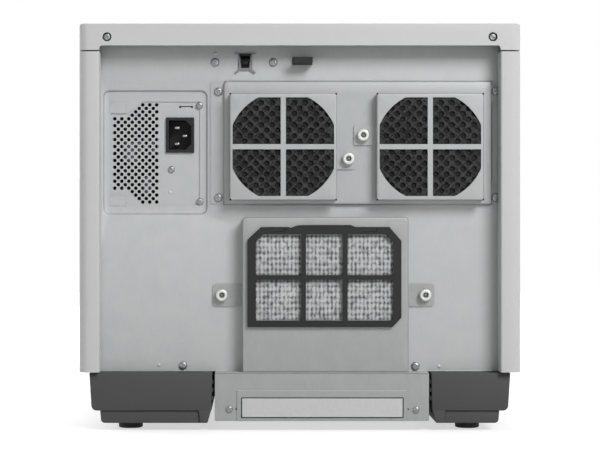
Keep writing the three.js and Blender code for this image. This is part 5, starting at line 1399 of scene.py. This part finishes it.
def makeArm():
    x, y = stackerShape["turret"]
    low, high = boxOf("arm")
    tall = high.z - low.z
    collar, bore, half, thick, reach, tip, towards = list(armShape.values())[:7]
    arm = shapeOf(turned, ("Z", (0, 0, 0), [
        (bore, 0), (collar - 0.8, 0), (collar, 0.8), (collar, tall - 0.8), (collar - 0.8, tall),
        (bore + 0.5, tall), (bore, tall - 0.5), (bore, 0)], 48), ("Z", (reach, 0, 0), [
            (0, 0), (tip - 0.6, 0), (tip, 0.6), (tip, thick - 0.8), (tip - 0.8, thick), (5, thick),
            (4.6, thick - 0.8), (0, thick - 0.8)], 40))
    bars = [(0, thick, [(14, -half - 1.5), (reach, -half + 0.6), (reach, half - 0.6), (14, half + 1.5)]),
            (thick - 1, thick + 1.6, [(15, -1.2), (reach - 12, -1.2), (reach - 12, 1.2), (15, 1.2)])]
    bars += [(thick - 1, thick + 1.2, [(16, side * 4.6), (reach - 11, side * 4.2), (reach - 11, side * 5.4),
                                       (16, side * 6.4)]) for side in (-1, 1)]
    for bottom, top, points in bars:
        prism(arm, "Z", bottom, top, rounded(points))
    plate(arm, -1.2, 1.2, rounded([(15.5, thick - 1), (36, thick - 1), (15.5, tall - 2.5)]))  # its web
    turn = Matrix.Rotation(math.atan2(towards[1], towards[0]), 4, "Z")
    bmesh.ops.transform(arm, matrix=Matrix.Translation((x, y, low.z)) @ turn, verts=arm.verts)
    makePiece("arm_beam", arm, "plastic", "plastic", ["arm"], "lift", soft=(0.4, 2, 50))


def makeGripper():
    low, high = boxOf("gripper")
    x, y, tall = (low.x + high.x) / 2, (low.y + high.y) / 2, high.z - low.z
    grip = shapeOf(turned, ("Z", (x, y, low.z), [
        (0, 0), (4.6, 0), (5, 0.3), (7.1, 2.4), (7.1, tall - 3.4), (7.4, tall - 3), (8.7, tall - 3),
        (9, tall - 2.7), (9, tall), (0, tall)], 48))
    slots = bmesh.new()
    for step in range(armShape["slots"]):
        made = block(slots, (3.5, -0.6, -1), (8, 0.6, tall - 5))
        turn = Matrix.Rotation(step * math.tau / armShape["slots"] + armShape["slotTurn"], 4, "Z")
        bmesh.ops.transform(slots, matrix=Matrix.Translation((x, y, low.z)) @ turn, verts=made)
    makePiece("grip_nose", carve(grip, slots), "nickel", "nickel", ["gripper"], "lift")


makePost()
makeArm()
makeGripper()


# Inside: the front frame's seal, and parts on the main board

doorSeal = {"setback": 14.2, "side": 3, "end": 7.5, "width": 3}
boardParts = {
    "board_chips": ("black", [(-38, -60, 22, 22, 1.6), (10, -40, 14, 14, 1.4), (34, -72, 16, 9, 1.8),
                              (-12, -84, 11, 18, 1.2)]),
    "board_sockets": ("plastic", [(-50, -10, 20, 7, 9), (-22, -10, 14, 7, 9), (4, -10, 26, 7, 8),
                                  (44, -12, 14, 9, 10)]),
    "board_sinks": ("spring", [(-38, -60, 16, 16, 8), (34, -40, 12, 4, 10)])}
boardCans = [(20, -86), (29, -86), (-28, -30), (-18, -30), (52, -60)]
canProfile = [(0, 0), (3.8, 0), (4, 0.4), (3.8, 1), (4, 1.4), (4, 9.6), (3.6, 10), (0, 10)]


def makeInside():
    low, high = boxOf("front_frame")
    face, side, end = low.y + doorSeal["setback"], doorSeal["side"], doorSeal["end"]
    outer = panel(low.x + side, low.z + end, high.x - side, high.z - end, 3, 3)
    slab("door_seal", face - 0.05, face + 0.6, outer, "rail", "black", [inset(outer, doorSeal["width"])])
    low, high = boxOf("main_board")
    middle, seat = (low.x + high.x) / 2, high.z - 0.1
    for name, (tone, parts) in boardParts.items():
        shape = bmesh.new()
        for x, y, wide, deep, tall in parts:
            x, y = middle + x, high.y + y
            block(shape, (x - wide / 2, y - deep / 2, seat), (x + wide / 2, y + deep / 2, high.z + tall))
        makePiece(name, shape, tone, "black", soft=(0.3,))
    cans = shapeOf(turned, *(("Z", (middle + x, high.y + y, seat), canProfile, 20) for x, y in boardCans))
    makePiece("board_cans", cans, "spring", "nickel")


makeInside()
print("inside made")


# Floor, light and camera

studio = {"floor": 0.6, "floorSize": 3.5, "world": 0.05,
          "glow": {"From Min": 0.35, "From Max": 1.3, "To Min": 0.6, "To Max": 1.0},
          "lamps": {  # place, target, size, power
              "key": ((-0.9, 1.95, 1.36), (0, 0.2, 0.2), 0.85, 41),
              "fill": ((1.7, 1.2, 0.7), (0, 0.2, 0.2), 1.4, 2),
              "top_fill": ((0, -0.35, 2.3), (0, -0.1, 0.3), 1.2, 8),
              "front_fill": ((0.6, -2.0, 1.2), (0, -0.2, 0.2), 1.4, 25),
              "right_fill": ((2.2, -0.9, 0.9), (0.2, 0, 0.15), 1.4, 28),
              "left_fill": ((-2.2, -0.9, 0.9), (-0.2, 0, 0.15), 1.4, 14)}}
cameraPlace = {"x": 0.04, "z": 0.1762, "distance": 1.8, "plane": 0.2325, "width": 0.5112}


def seenRays(tree):  # 1 for rays from the camera, and for those that metal and glass send on
    path = addNode(tree, "ShaderNodeLightPath").outputs
    seen = path["Is Camera Ray"]
    for ray in ("Is Glossy Ray", "Is Transmission Ray"):
        seen = addNode(tree, "ShaderNodeMath", {0: seen, 1: path[ray]}, operation="MAXIMUM").outputs[0]
    return seen


def makeFloor():
    ground = bmesh.new()
    bmesh.ops.create_grid(ground, x_segments=8, y_segments=8, size=studio["floorSize"])
    floor = addObject("floor", meshOf("floor", ground))
    sockets = {"Base Color": (*[studio["floor"]] * 3, 1), "Roughness": 0.9}
    material, tree, shader = newMaterial("pale_floor", sockets)
    place = addNode(tree, "ShaderNodeTexCoord").outputs["Object"]
    reach = addNode(tree, "ShaderNodeVectorMath", {0: place}, operation="LENGTH").outputs["Value"]
    spread = addNode(tree, "ShaderNodeMapRange", {"Value": reach, **studio["glow"]},
                     interpolation_type="SMOOTHSTEP")
    glow = addNode(tree, "ShaderNodeEmission", {"Strength": spread.outputs["Result"]}).outputs[0]
    none = addNode(tree, "ShaderNodeEmission", {"Strength": 0}).outputs[0]
    pick = addNode(tree, "ShaderNodeMixShader", {0: seenRays(tree), 1: none, 2: glow}).outputs[0]
    both = addNode(tree, "ShaderNodeAddShader", {0: pick, 1: shader.outputs[0]}).outputs[0]
    feed(tree, tree.nodes["Material Output"], {"Surface": both})
    floor.data.materials.append(material)


def makeWorld():
    world = bpy.data.worlds.new("studio")
    scene.world = world
    world.use_nodes = True
    tree, white = world.node_tree, (1, 1, 1, 1)
    plain = tree.nodes["Background"]
    feed(tree, plain, {"Color": white, "Strength": studio["world"]})
    seen = addNode(tree, "ShaderNodeBackground", {"Color": white, "Strength": 1})
    pick = addNode(tree, "ShaderNodeMixShader", {0: seenRays(tree), 1: plain.outputs[0], 2: seen.outputs[0]})
    feed(tree, tree.nodes["World Output"], {"Surface": pick.outputs[0]})


def aim(holder, place, direction):
    holder.location, holder.rotation_mode = place, "QUATERNION"
    holder.rotation_quaternion = Vector(direction).to_track_quat("-Z", "Y")


def makeLamp(name, place, target, size, power):
    lamp = bpy.data.lights.new(name, "AREA")
    lamp.size, lamp.energy = size, power
    holder = addObject(name, lamp)
    aim(holder, place, Vector(target) - Vector(place))
    holder.visible_camera = False


def makeCamera():
    x, z, distance, plane, width = cameraPlace.values()
    view = bpy.data.cameras.new("camera")
    view.sensor_width = 36
    view.lens, view.shift_x = 36 * distance / width, x / width
    scene.camera = addObject("camera", view)
    aim(scene.camera, (x, plane + distance, z), (0, -1, 0))


makeFloor()
makeWorld()
for name, values in studio["lamps"].items():
    makeLamp(name, *values)
makeCamera()
scene.view_settings.view_transform = "Standard"
print("studio ready")
